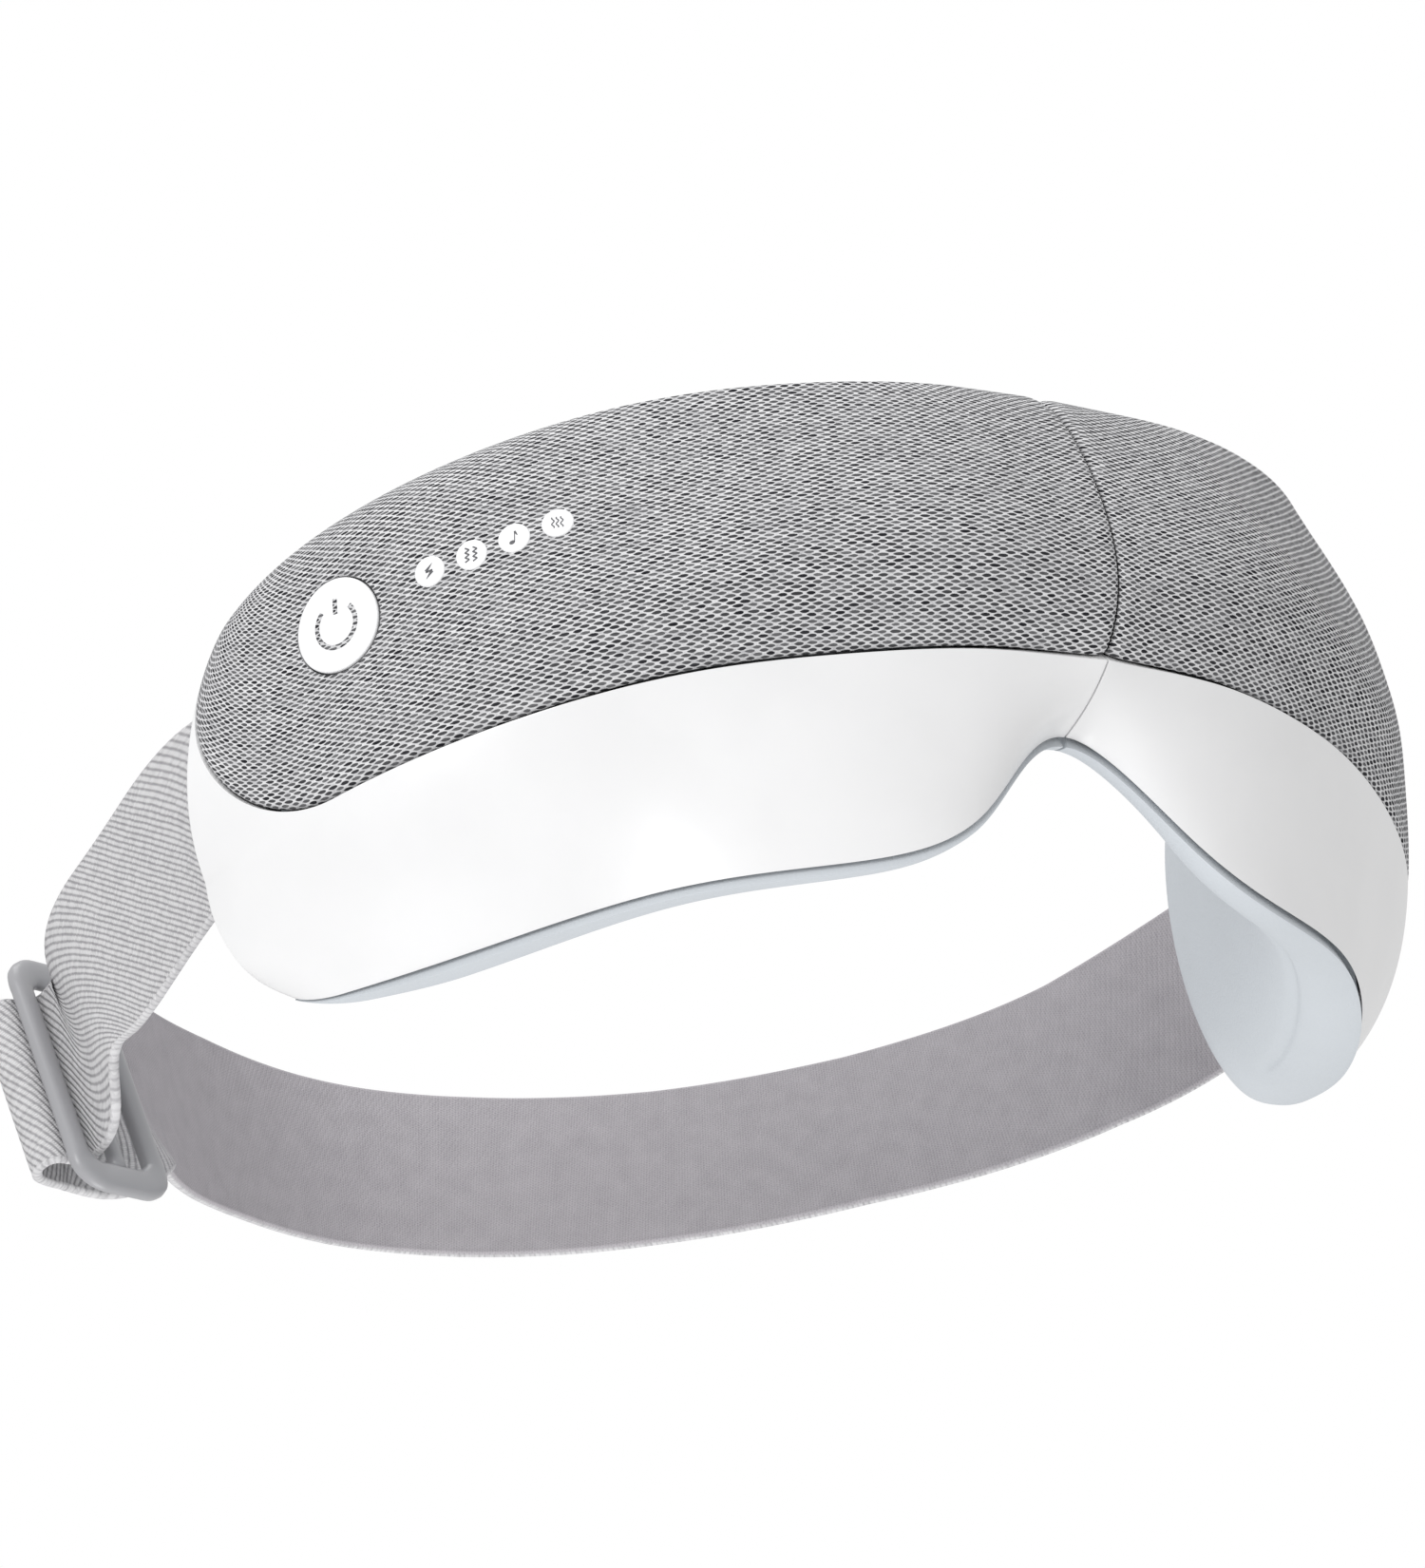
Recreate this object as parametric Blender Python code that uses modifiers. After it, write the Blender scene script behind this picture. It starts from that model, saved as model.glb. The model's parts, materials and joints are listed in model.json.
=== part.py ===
"""Foldable eye massager mask: a padded, fabric-fronted mask for the eyes, held by an elastic head strap.

World frame: X runs across the face (the button half is at -X), -Y is the front, +Z is up. The origin is
on the front seam, where the fabric front meets the glossy lower shell. The lists below are in millimetres,
and MM turns them into the metres that Blender works in.

Each half is built on one surface. Its plan line is the rear edge of the casing, from the nose bridge to
the temple, and at each station along that line a section bulges forwards from it: lower edge, fabric
line, belly, brow and top edge. Casings, boards, bladders and cushions are all set off from that surface.
"""

import math

import bmesh
import bpy
import numpy as np
from mathutils import Matrix, Vector

MM = 0.001
RIGHT = 1
LEFT = -1

# Casing stations, from the nose bridge (u = 0) to the temple (u = 1).
STATION_U = (0.0, 0.2, 0.4, 0.6, 0.8, 1.0)
REAR_EDGE_X = (0.0, 17.0, 35.5, 55.5, 73.0, 82.0)
REAR_EDGE_Y = (11.0, 7.5, 11.0, 24.5, 48.5, 80.0)
# Section lines, from the lower edge (v = 0) to the top edge (v = 1): how far each stands out, and its height.
SECTION_V = (0.0, 0.22, 0.42, 0.7, 1.0)
SECTION_OUT = (
    (0, 11.5, 16.5, 11, 0),
    (0, 6.5, 12.5, 7, 0),
    (0, 4, 9, 4.5, 0),
    (0, 5.5, 9.5, 4.5, 0),
    (0, 11, 11, 9.9, 0),
    (0, 12, 14, 8.2, 0),
)
SECTION_Z = (
    (-7, 0, 10.5, 31, 42),
    (-21, 0, 11, 29.5, 40),
    (-28.5, -1, 10, 28, 38.8),
    (-30, -3, 6.5, 27, 38),
    (-33, -9, 7, 24.5, 34.7),
    (-31.5, -15.5, 0, 19.5, 26.8),
)
CORNER_LIFT = 2.8  # the lower edge rounds up by this at the temple
CORNER_START_U = 0.925
WIDTH_SCALE = 1.0  # overall sizes: across the face
HEIGHT_SCALE = 1.0  # and up it
CENTRE_SLOPE = 85.0  # the plan line runs straight across the bridge, this many mm per unit of u

GAP = 0.3  # between pieces that touch
SEAM_GAP = 0.5  # between the two halves at rest
FABRIC_WALL = 1.0
CARRIER_WALL = 1.8
CARRIER_TOP_V = 0.77  # it stops where the casing gets too shallow to hold it
SHELL_WALL = 2.2
FRAME_WALL = 2.0
FABRIC_LINE_V = SECTION_V[1]
FABRIC_LINE_RISE = 0.33  # how far the line climbs at the temple, in v
FABRIC_LINE_RISE_U = 0.86  # where it starts to

CUSHION_DEPTH = (10.0, 13.0, 15.0, 17.5, 20.0, 19.5)
CUSHION_RIM = 1.4  # how far the lip shows below the casing's lower edge
CUSHION_TOP_RIM = 0.8  # and how far it stays under the top edge
RIM_FLAT = 0.6  # the lip's height behind the casing's edge
FRAME_TOP_INSET = 2.2
FRAME_LOW_INSET = 1.2
FOLD_DRAFT = 0.8  # the cushions' centre ends lean back by this slope, so that the halves can fold
AIRBAG_THICKNESS = 2.6
FILM_THICKNESS = 0.5
POCKET_MARGIN = 5.0  # foam left round the bladder pocket
EYE_X = 33.0
EYE_Z = 2.0
EYE_RECESS = (23.0, 7.0, 15.0)  # half width, depth and half height
NOSE_PAD_TOP = -5.0  # below this the two lips meet under the hinge
NOSE_PAD_BLEND = 3.0  # the height over which they part

HINGE_Y = 14.0
HINGE_PIN_RADIUS = 1.5
HINGE_RUNNING_GAP = 0.08
HINGE_BARREL_RADIUS = 3.3
HINGE_BOTTOM = -1.0
HINGE_KNUCKLE = 10.5
HINGE_KNUCKLE_GAP = 0.4
HINGE_LEAF_WALL = 1.2
HINGE_LEAF_REACH = 15.0
HINGE_PIN_HEAD = 1.2

BUTTON_U, BUTTON_V = 0.849, 0.506
BUTTON_RADIUS = 6.6
BUTTON_THICKNESS = 1.2
BUTTON_CLEARANCE = 0.25
BUTTON_TRAVEL = 0.6
BUTTON_PROUD = 0.9
STEM_RADIUS = 1.6
STEM_LENGTH = 2.6
WINDOW_PLACES = (
    ("charge_window", 0.767, 0.554),
    ("vibration_window", 0.732, 0.570),
    ("music_window", 0.697, 0.589),
    ("heat_window", 0.661, 0.606),
)
WINDOW_RADIUS = 2.2
WINDOW_PROUD = 0.15

STRAP_WIDTH = 27.5
STRAP_WALL = 1.6
STRAP_SLOT_Z = -2.5
STRAP_OUT = 5.2  # the slot's distance in front of the rear edge
END_CAP_U = 0.985
SLOT_CLEARANCE = 0.8
# The strap's centre line, chosen by hand: back strap from the right temple round to the buckle, then the
# side strap from the left temple to the buckle.
BACK_STRAP = (
    (86, 92, -5), (70, 108, -15), (43, 131, -22.5), (20, 153, -24),
    (-2, 171, -22), (-24, 176, -20), (-47, 167, -19), (-66, 149, -21), (-78, 137, -24.5),
)
SIDE_STRAP = ((-91, 93, -6), (-94.5, 105, -15), (-95.5, 115.5, -24))
# How far the strap's upper edge leans: the share of the way along, then x and y for each unit up.
BACK_STRAP_LEAN = (
    (0.0, 0.0, 0.0), (0.13, 0.0, 0.0), (0.35, 0.1, 0.3), (0.7, 0.1, 0.15), (1.0, -0.15, 0.15),
)
SIDE_STRAP_LEAN = ((0.0, 0.0, 0.0), (0.4, 0.0, 0.0), (1.0, -0.15, 0.34))

BUCKLE_CENTRE = (-89.5, 124.5, -28.5)
BUCKLE_ALONG = (0.95, 0.31, 0.0)  # the way it slides, towards the back strap
BUCKLE_UP = (-0.105, 0.325, 0.94)
BUCKLE_BAR = 2.6
BUCKLE_THICKNESS = 2.2
BUCKLE_WIDTH = 17.0
BUCKLE_END_WALL = 3.2
FOLD_RADIUS = 3.4

# Inner pieces. A box's size is length, thickness and height; a place is (u, z).
MAIN_BOARD = (18.0, 1.0, 13.0)
MAIN_BOARD_PLACE = (0.29, 12.5)
MAIN_BOARD_OUT = 1.1
BATTERY = (26.0, 4.4, 15.0)
BATTERY_PLACE = (0.8, 5.0)
CHARGE_BOARD = (16.0, 1.0, 12.0)
CHARGE_BOARD_PLACE = (0.3, 12.0)
CHARGE_BOARD_OUT = 1.6
PORT = (10.2, 5.2, 4.4)
PORT_WALL = 0.9
PORT_U, PORT_V = 0.9, 0.13
PORT_PROUD = 0.4
PUMP_RADIUS = 3.2
PUMP_LENGTH = 18.0
PUMP_PLACE = (0.82, -1.5)
VALVE = (8.0, 4.6, 6.0)
VALVE_PLACE = (0.62, 6.5)
SPEAKER_RADIUS = 5.5
SPEAKER_THICKNESS = 3.0
SPEAKER_PLACE = (0.7, 20.0)
MOTOR_RADIUS = 4.0
MOTOR_THICKNESS = 2.7
MOTOR_PLACE = (0.5, 12.0)
INNER_GAP = 0.2  # between an inner piece and the rear frame
SWITCH = (6.0, 1.6, 6.0)
ANCHOR_RADIUS = 1.6
ANCHOR_U = 0.932
ANCHOR_SPARE = 0.6  # how much taller the anchor is than the strap
SCREW_RADIUS = 0.8
SCREW_HEAD_RADIUS = 1.5
SCREW_HEAD_HEIGHT = 1.0
SCREW_LENGTH = 4.5
SCREW_CLEARANCE = 0.15
BOSS_WALL = 1.1
SCREW_PLACES = ((0.23, 0.66), (0.9, 0.68))  # (u, v)

COLOURS = {
    "knit_fabric": ((0.42, 0.43, 0.45), 0.95, 0.0),
    "shell_gloss_white": ((0.86, 0.86, 0.86), 0.25, 0.0),
    "carrier_plastic": ((0.35, 0.36, 0.38), 0.55, 0.0),
    "frame_plastic": ((0.55, 0.57, 0.6), 0.5, 0.0),
    "cushion_leather": ((0.60, 0.64, 0.67), 0.6, 0.0),
    "bladder": ((0.8, 0.82, 0.8), 0.4, 0.0),
    "heating_film": ((0.75, 0.45, 0.15), 0.4, 0.0),
    "strap_webbing": ((0.5, 0.49, 0.51), 0.95, 0.0),
    "buckle_plastic": ((0.38, 0.38, 0.4), 0.35, 0.0),
    "button_white": ((0.85, 0.85, 0.86), 0.4, 0.0),
    "circuit_board": ((0.05, 0.22, 0.1), 0.5, 0.0),
    "cell_foil": ((0.6, 0.62, 0.65), 0.35, 0.2),
    "steel": ((0.62, 0.62, 0.64), 0.3, 1.0),
    "dark_plastic": ((0.06, 0.06, 0.07), 0.5, 0.0),
}


def clear_scene():
    for item in list(bpy.data.objects):
        bpy.data.objects.remove(item, do_unlink=True)


def new_collection(name):
    made = bpy.data.collections.new(name)
    bpy.context.scene.collection.children.link(made)
    return made


clear_scene()
PARTS = new_collection("eye_massager_mask")
CUTTERS = new_collection("cutters")
CUTTERS.hide_render = True


def material(name):
    found = bpy.data.materials.get(name)
    if found:
        return found
    colour, roughness, metallic = COLOURS[name]
    made = bpy.data.materials.new(name)
    made.use_nodes = True
    surface = made.node_tree.nodes["Principled BSDF"]
    surface.inputs["Base Color"].default_value = (*colour, 1.0)
    surface.inputs["Roughness"].default_value = roughness
    surface.inputs["Metallic"].default_value = metallic
    return made


def spline(knots, values, at, start_slope=None):
    """Cubic through the values, with continuous curvature, starting at start_slope where it is given."""
    knots = np.asarray(knots, float)
    values = np.asarray(values, float)
    at = np.asarray(at, float)
    count = len(knots)
    step = np.diff(knots)
    shape = (count,) + (1,) * (values.ndim - 1)
    rise = np.diff(values, axis=0) / step.reshape((count - 1,) + shape[1:])
    system = np.zeros((count, count))
    wanted = np.zeros(values.shape)
    for i in range(1, count - 1):
        system[i, i - 1 : i + 2] = step[i], 2 * (step[i - 1] + step[i]), step[i - 1]
        wanted[i] = 3 * (step[i] * rise[i - 1] + step[i - 1] * rise[i])
    if start_slope is None:
        system[0, :2] = 1, 1
        wanted[0] = 2 * rise[0]
    else:
        system[0, 0] = 1
        wanted[0] = start_slope
    system[-1, -2:] = 1, 1
    wanted[-1] = 2 * rise[-1]
    slope = np.linalg.solve(system, wanted.reshape(count, -1)).reshape(values.shape)
    cell = np.clip(np.searchsorted(knots, at, side="right") - 1, 0, count - 2)
    width = step[cell]
    t = (at - knots[cell]) / width
    if values.ndim > 1:
        width = width.reshape(width.shape + (1,) * (values.ndim - 1))
        t = t.reshape(t.shape + (1,) * (values.ndim - 1))
    return (
        (2 * t**3 - 3 * t**2 + 1) * values[cell]
        + (t**3 - 2 * t**2 + t) * width * slope[cell]
        + (3 * t**2 - 2 * t**3) * values[cell + 1]
        + (t**3 - t**2) * width * slope[cell + 1]
    )


def plan(u):
    """Rear edge of the casing at u, its direction along the plan line, and the way outwards."""
    x = spline(STATION_U, REAR_EDGE_X, u, CENTRE_SLOPE) * WIDTH_SCALE
    y = spline(STATION_U, REAR_EDGE_Y, u, 0.0)
    nudge = 1e-4
    ahead_x = spline(STATION_U, REAR_EDGE_X, u + nudge, CENTRE_SLOPE) * WIDTH_SCALE
    ahead_y = spline(STATION_U, REAR_EDGE_Y, u + nudge, 0.0)
    along = np.stack([ahead_x - x, ahead_y - y], -1)
    along /= np.linalg.norm(along, axis=-1, keepdims=True)
    out = np.stack([along[..., 1], -along[..., 0]], -1)
    return np.stack([x, y], -1), along, out


def section(u, v):
    """How far the casing stands out from its rear edge at (u, v), and its height."""
    both = np.stack([np.array(SECTION_OUT, float), np.array(SECTION_Z, float) * HEIGHT_SCALE], -1)
    rows = spline(STATION_U, both, u, 0.0)
    weights = spline(SECTION_V, np.eye(len(SECTION_V)), v)
    found = np.einsum("...k,...kc->...c", weights, rows)
    corner = np.clip((u - CORNER_START_U) / (1 - CORNER_START_U), 0, 1)
    low_share = np.clip(1 - v / FABRIC_LINE_V, 0, 1)
    lift = CORNER_LIFT * (1 - np.sqrt(1 - corner**2)) * low_share**2
    return found[..., 0], found[..., 1] + lift


def place(u, out, z):
    """The point at plan station u, out in front of the rear edge, at height z."""
    edge, _, outwards = plan(np.asarray(u, float))
    flat = edge + outwards * np.asarray(out, float)[..., None]
    return np.concatenate([flat, np.broadcast_to(np.asarray(z, float), flat.shape[:-1])[..., None]], -1)


def inset_section(u, v, depth):
    """The section at (u, v) moved this far inwards, but never behind the casing's rear edge."""
    u, v = np.broadcast_arrays(np.asarray(u, float), np.asarray(v, float))
    nudge = 1e-3
    out, z = section(u, v)
    out_above, z_above = section(u, v + nudge)
    out_below, z_below = section(u, v - nudge)
    run = np.stack([out_above - out_below, z_above - z_below], -1)
    run /= np.linalg.norm(run, axis=-1, keepdims=True)
    return np.clip(out - run[..., 1] * depth, 0, None), z + run[..., 0] * depth


def skin_place(u, v, depth):
    """The point this far under the casing's surface at (u, v), and the surface's outward normal."""
    nudge = 1e-3

    def outer(uu, vv):
        return place(uu, *section(np.array(uu), np.array(vv)))

    across = outer(u + nudge, v) - outer(u - nudge, v)
    up = outer(u, v + nudge) - outer(u, v - nudge)
    normal = np.cross(across, up)
    normal /= np.linalg.norm(normal)
    return outer(u, v) - normal * depth, normal


def edge_heights(u):
    """Heights of the casing's lower and top edges at u."""
    u = np.asarray(u, float)
    return section(u, 0 * u)[1], section(u, 0 * u + 1)[1]


def fabric_line(u):
    """v of the line where the fabric front meets the lower shell."""
    climb = np.clip((u - FABRIC_LINE_RISE_U) / (1 - FABRIC_LINE_RISE_U), 0, None)
    return FABRIC_LINE_V + FABRIC_LINE_RISE * climb**3


def link(mesh, name, slot, collection=None):
    made = bpy.data.objects.new(name, mesh)
    mesh.materials.append(material(slot))
    for face in mesh.polygons:
        face.use_smooth = True
    (collection or PARTS).objects.link(made)
    return made


def mesh_from(points, faces, side=RIGHT):
    """A mesh from points in millimetres, mirrored to the left half where side asks for it."""
    points = np.asarray(points, float).reshape(-1, 3) * (side, 1, 1) * MM
    mesh = bpy.data.meshes.new("surface")
    mesh.from_pydata(points.tolist(), [], [tuple(face) for face in faces])
    build = bmesh.new()
    build.from_mesh(mesh)
    if side == LEFT:
        bmesh.ops.reverse_faces(build, faces=build.faces)
    build.to_mesh(mesh)
    build.free()
    return mesh


def loft(name, slot, rings, side, collection=None, start_caps=None):
    """A closed solid through rings of points. Its start can be capped in pieces, by lists of ring places."""
    count, size = rings.shape[:2]
    index = np.arange(count * size).reshape(count, size)
    after = np.roll(index, -1, axis=1)
    faces = np.stack([index[:-1], index[1:], after[1:], after[:-1]], -1).reshape(-1, 4).tolist()
    faces += [index[0][list(cap)].tolist() for cap in start_caps or [range(size)]]
    faces.append(index[-1][::-1].tolist())
    mesh = mesh_from(rings, faces, side)
    build = bmesh.new()
    build.from_mesh(mesh)
    bmesh.ops.recalc_face_normals(build, faces=build.faces)
    build.to_mesh(mesh)
    build.free()
    return link(mesh, name, slot, collection)


def frame_matrix(point, forwards, upwards=(0, 0, 1)):
    """Local Z along forwards and local Y near upwards, at a point in millimetres."""
    z_axis = Vector(forwards).normalized()
    x_axis = Vector(upwards).cross(z_axis).normalized()
    y_axis = z_axis.cross(x_axis)
    turn = Matrix((x_axis, y_axis, z_axis)).transposed().to_4x4()
    return Matrix.Translation(Vector(point) * MM) @ turn


def shape(name, slot, matrix, make, collection=None):
    """A bmesh primitive, made in metres about its own origin and set in place."""
    mesh = bpy.data.meshes.new(name)
    build = bmesh.new()
    make(build)
    build.to_mesh(mesh)
    build.free()
    made = link(mesh, name, slot, collection)
    made.matrix_world = matrix
    return made


def box(size):
    def make(build):
        bmesh.ops.create_cube(build, size=1.0)
        bmesh.ops.scale(build, vec=Vector(size) * MM, verts=build.verts)

    return make


def rod(radius, length, sides=28):
    def make(build):
        bmesh.ops.create_cone(
            build, cap_ends=True, segments=sides, radius1=radius * MM, radius2=radius * MM, depth=length * MM
        )

    return make


def turned(name, slot, matrix, profile, sides=28, collection=None):
    """A turned piece: (radius, height) points from its top to its bottom, spun by Screw about local Z."""
    mesh = bpy.data.meshes.new(name)
    points = [(radius * MM, 0, height * MM) for radius, height in profile]
    mesh.from_pydata(points, [(i, i + 1) for i in range(len(points) - 1)], [])
    made = link(mesh, name, slot, collection)
    spin = made.modifiers.new("turned", "SCREW")
    spin.steps = sides
    spin.render_steps = sides
    spin.use_merge_vertices = True
    spin.merge_threshold = 0.00001
    spin.use_smooth_shade = True
    made.matrix_world = matrix
    return made


def cut(target, cutter, operation="DIFFERENCE"):
    cutter.display_type = "WIRE"
    cutter.hide_render = True
    change = target.modifiers.new(operation.lower(), "BOOLEAN")
    change.operation = operation
    change.object = cutter
    change.solver = "EXACT"


def hole(target, matrix, radius, length):
    cut(target, shape(target.name + "_hole", "steel", matrix, rod(radius, length), CUTTERS))


def boxed_hole(target, matrix, size):
    cut(target, shape(target.name + "_opening", "steel", matrix, box(size), CUTTERS))


def round_edges(target, width, segments=2):
    soften = target.modifiers.new("edges", "BEVEL")
    soften.width = width * MM
    soften.segments = segments
    soften.limit_method = "ANGLE"
    soften.harden_normals = False


def mirrored(point, side):
    return (point[0] * side, point[1], point[2])


def stand(u, out, z, side):
    """Where a piece stands: its point and the outward direction, for either half."""
    point = place(np.array(u), np.array(out), z)
    outwards = plan(np.array(u, float))[2]
    return mirrored(point, side), (outwards[0] * side, outwards[1], 0.0)


def on_skin(u, v, depth, side):
    point, normal = skin_place(u, v, depth)
    return mirrored(point, side), mirrored(normal, side)


CENTRE_U = SEAM_GAP / 2 / CENTRE_SLOPE
GAP_V = 0.008  # the gap at the fabric line, in v
CASING_COLUMNS = 30
SIDES = ((RIGHT, "right"), (LEFT, "left"))


def casing_wall(name, slot, low_v, high_v, depth, wall, rows, side):
    """A wall of the casing between two lines of v, from this depth inwards."""
    u = np.linspace(CENTRE_U, 1.0, CASING_COLUMNS)[:, None]
    share = np.linspace(0, 1, rows)[None, :]
    v = low_v(u) * (1 - share) + high_v(u) * share
    front = place(u + 0 * v, *inset_section(u, v, depth))
    back = place(u + 0 * v, *inset_section(u, v, depth + wall))
    front[0, :, 0] = SEAM_GAP / 2
    back[0, :, 0] = SEAM_GAP / 2
    return loft(name, slot, np.concatenate([front, back[:, ::-1]], 1), side)


def above_fabric_line(u):
    return fabric_line(u) + GAP_V


def top_edge(u):
    return 0 * u + SECTION_V[-1]


def carrier_top(u):
    return 0 * u + CARRIER_TOP_V


def bottom_edge(u):
    return 0 * u


def add_fabric_cover(side, name):
    return casing_wall(
        "fabric_cover_" + name, "knit_fabric", above_fabric_line, top_edge, 0.0, FABRIC_WALL, 13, side
    )


def add_front_carrier(side, name):
    depth = FABRIC_WALL + GAP
    return casing_wall(
        "front_carrier_" + name, "carrier_plastic", above_fabric_line, carrier_top, depth, CARRIER_WALL, 10,
        side,
    )


def add_lower_shell(side, name):
    return casing_wall(
        "lower_shell_" + name, "shell_gloss_white", bottom_edge, fabric_line, 0.0, SHELL_WALL, 7, side
    )


FRAME_START_U = (HINGE_BARREL_RADIUS + 1.2) / CENTRE_SLOPE


def add_rear_frame(side, name):
    """The flat-sided rear wall that closes the casing, just inside its edges."""
    u = np.linspace(FRAME_START_U, 1.0, 16)
    low, top = edge_heights(u)
    low = low + FRAME_LOW_INSET
    top = top - FRAME_TOP_INSET
    corners = [(-GAP, low), (-GAP, top), (-GAP - FRAME_WALL, top), (-GAP - FRAME_WALL, low)]
    rings = np.stack([place(u, out + 0 * u, z) for out, z in corners], 1)
    return loft("rear_frame_" + name, "frame_plastic", rings, side)


FILM_OUT = -(GAP * 3 + FRAME_WALL + AIRBAG_THICKNESS)
POCKET_OUT = FILM_OUT - FILM_THICKNESS - GAP
CUSHION_STATIONS = (
    0.0, 0.03, 0.06, 0.1, 0.15, 0.2, 0.27, 0.34, 0.41, 0.48, 0.56, 0.64, 0.72, 0.8, 0.88, 0.94, 0.965, 0.98,
    0.99,
)


def smooth_step(share):
    share = np.clip(share, 0, 1)
    return share**2 * (3 - 2 * share)


def cushion_rings():
    """Closed sections of the cushion: a rounded face towards the eyes, a lip, and a pocket in its back."""
    u = np.array(CUSHION_STATIONS)
    low, top = edge_heights(u)
    depth = spline(STATION_U, CUSHION_DEPTH, u)
    depth = depth * np.interp(u, (0.0, 0.94, 0.975, 0.99), (1.0, 1.0, 0.92, 0.8))
    middle = (low - CUSHION_RIM + top - CUSHION_TOP_RIM) / 2
    half = (top - CUSHION_TOP_RIM - low + CUSHION_RIM) / 2
    lip = -GAP - 0.2
    turn = np.linspace(-math.pi / 2, math.pi / 2, 15)
    face = [
        (lip - (depth + lip) * max(math.cos(a), 0.0) ** 0.8, middle + half * math.sin(a)) for a in turn
    ]
    frame_back = -GAP * 2 - FRAME_WALL
    pocket = np.interp(u, (0.13, 0.16, 0.9, 0.93), (frame_back, POCKET_OUT, POCKET_OUT, frame_back))
    back = [
        (lip + 0 * u, top - CUSHION_TOP_RIM - 0.2),
        (frame_back + 0 * u, top - CUSHION_TOP_RIM - 0.8),
        (frame_back + 0 * u, top - POCKET_MARGIN),
        (pocket, top - POCKET_MARGIN - 0.5),
        (pocket, low + POCKET_MARGIN + 0.5),
        (frame_back + 0 * u, low + POCKET_MARGIN),
        (frame_back + 0 * u, low + RIM_FLAT),
        (lip + 0 * u, low - RIM_FLAT + GAP * 2),
    ]
    rings = np.stack([place(u, out + 0 * u, z + 0 * u) for out, z in face + back], 1)
    barrel = smooth_step((rings[..., 2] - NOSE_PAD_TOP) / NOSE_PAD_BLEND)
    lean = np.clip(rings[..., 1] - HINGE_Y, 0, None) * FOLD_DRAFT
    shift = SEAM_GAP / 2 + (HINGE_BARREL_RADIUS + 0.9) * barrel + lean
    rings[..., 0] += shift * np.clip(1 - u / 0.2, 0, 1)[:, None]
    return rings


# The cushion's centre end is capped in two pieces, split just under the hinge, so that neither crosses it.
CUSHION_START_CAPS = ((20, 21, 22, 0, 1, 2, 3, 4), tuple(range(4, 21)))


def add_cushion(side, name):
    made = loft(
        "cushion_" + name, "cushion_leather", cushion_rings(), side, start_caps=CUSHION_START_CAPS
    )
    u = np.interp(EYE_X, np.multiply(REAR_EDGE_X, WIDTH_SCALE), STATION_U)
    depth = float(spline(STATION_U, CUSHION_DEPTH, np.array(u)))
    point, outwards = stand(u, -depth - 2.0, EYE_Z, side)
    mesh = bpy.data.meshes.new("eye_recess_" + name)
    build = bmesh.new()
    bmesh.ops.create_uvsphere(build, u_segments=28, v_segments=14, radius=MM)
    bmesh.ops.scale(build, vec=(EYE_RECESS[0], EYE_RECESS[2], EYE_RECESS[1] + 2.0), verts=build.verts)
    build.to_mesh(mesh)
    build.free()
    cutter = link(mesh, "eye_recess_" + name, "cushion_leather", CUTTERS)
    cutter.matrix_world = frame_matrix(point, outwards)
    cut(made, cutter)
    return made


def pocket_pad(name, slot, out, thickness, margin, start_u, end_u, side):
    """A thin pad that follows the rear frame inside the cushion's pocket."""
    u = np.linspace(start_u, end_u, 13)
    low, top = edge_heights(u)
    low = low + margin
    top = top - margin
    corners = [(out, low), (out, top), (out - thickness, top), (out - thickness, low)]
    rings = np.stack([place(u, o + 0 * u, z) for o, z in corners], 1)
    return loft(name, slot, rings, side)


def add_pocket(side, name):
    margin = POCKET_MARGIN + 1.5
    pocket_pad(
        "airbag_" + name, "bladder", -GAP * 2 - FRAME_WALL, AIRBAG_THICKNESS, margin, 0.18, 0.88, side
    )
    pocket_pad("heating_film_" + name, "heating_film", FILM_OUT, FILM_THICKNESS, margin, 0.19, 0.87, side)


def add_end_cap(side, name):
    """The wall that closes the temple end, with the slot that the strap comes out of."""
    v = np.linspace(0.02, 0.98, 15)
    inset = SHELL_WALL + FABRIC_WALL + GAP + 0.9
    outline = place(END_CAP_U + 0 * v, *inset_section(END_CAP_U + 0 * v, v, inset))
    rear_u = np.array([END_CAP_U, END_CAP_U])
    rear = place(rear_u, np.array([0.8, 0.8]), np.array([outline[-1][2], outline[0][2]]))
    keep = outline[2:-2]
    ring = np.concatenate([keep, rear + np.array([[0, 0, -2.0], [0, 0, 2.0]])])
    along = plan(np.array(END_CAP_U))[1]
    step = np.array([along[0], along[1], 0.0])
    rings = np.stack([ring, ring + step * 1.8])
    made = loft("end_cap_" + name, "frame_plastic", rings, side)
    point, _ = stand(END_CAP_U, STRAP_OUT, STRAP_SLOT_Z, side)
    direction = (along[0] * side, along[1], 0.0)
    boxed_hole(
        made,
        frame_matrix(point, direction),
        (STRAP_WALL + SLOT_CLEARANCE, STRAP_WIDTH + SLOT_CLEARANCE, 12.0),
    )
    return made


def add_strap_anchor(side, name):
    point, _ = stand(ANCHOR_U, STRAP_OUT, STRAP_SLOT_Z, side)
    return shape(
        "strap_anchor_" + name,
        "steel",
        frame_matrix(point, (0, 0, 1), (0, 1, 0)),
        rod(ANCHOR_RADIUS, STRAP_WIDTH + ANCHOR_SPARE, 20),
    )


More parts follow.
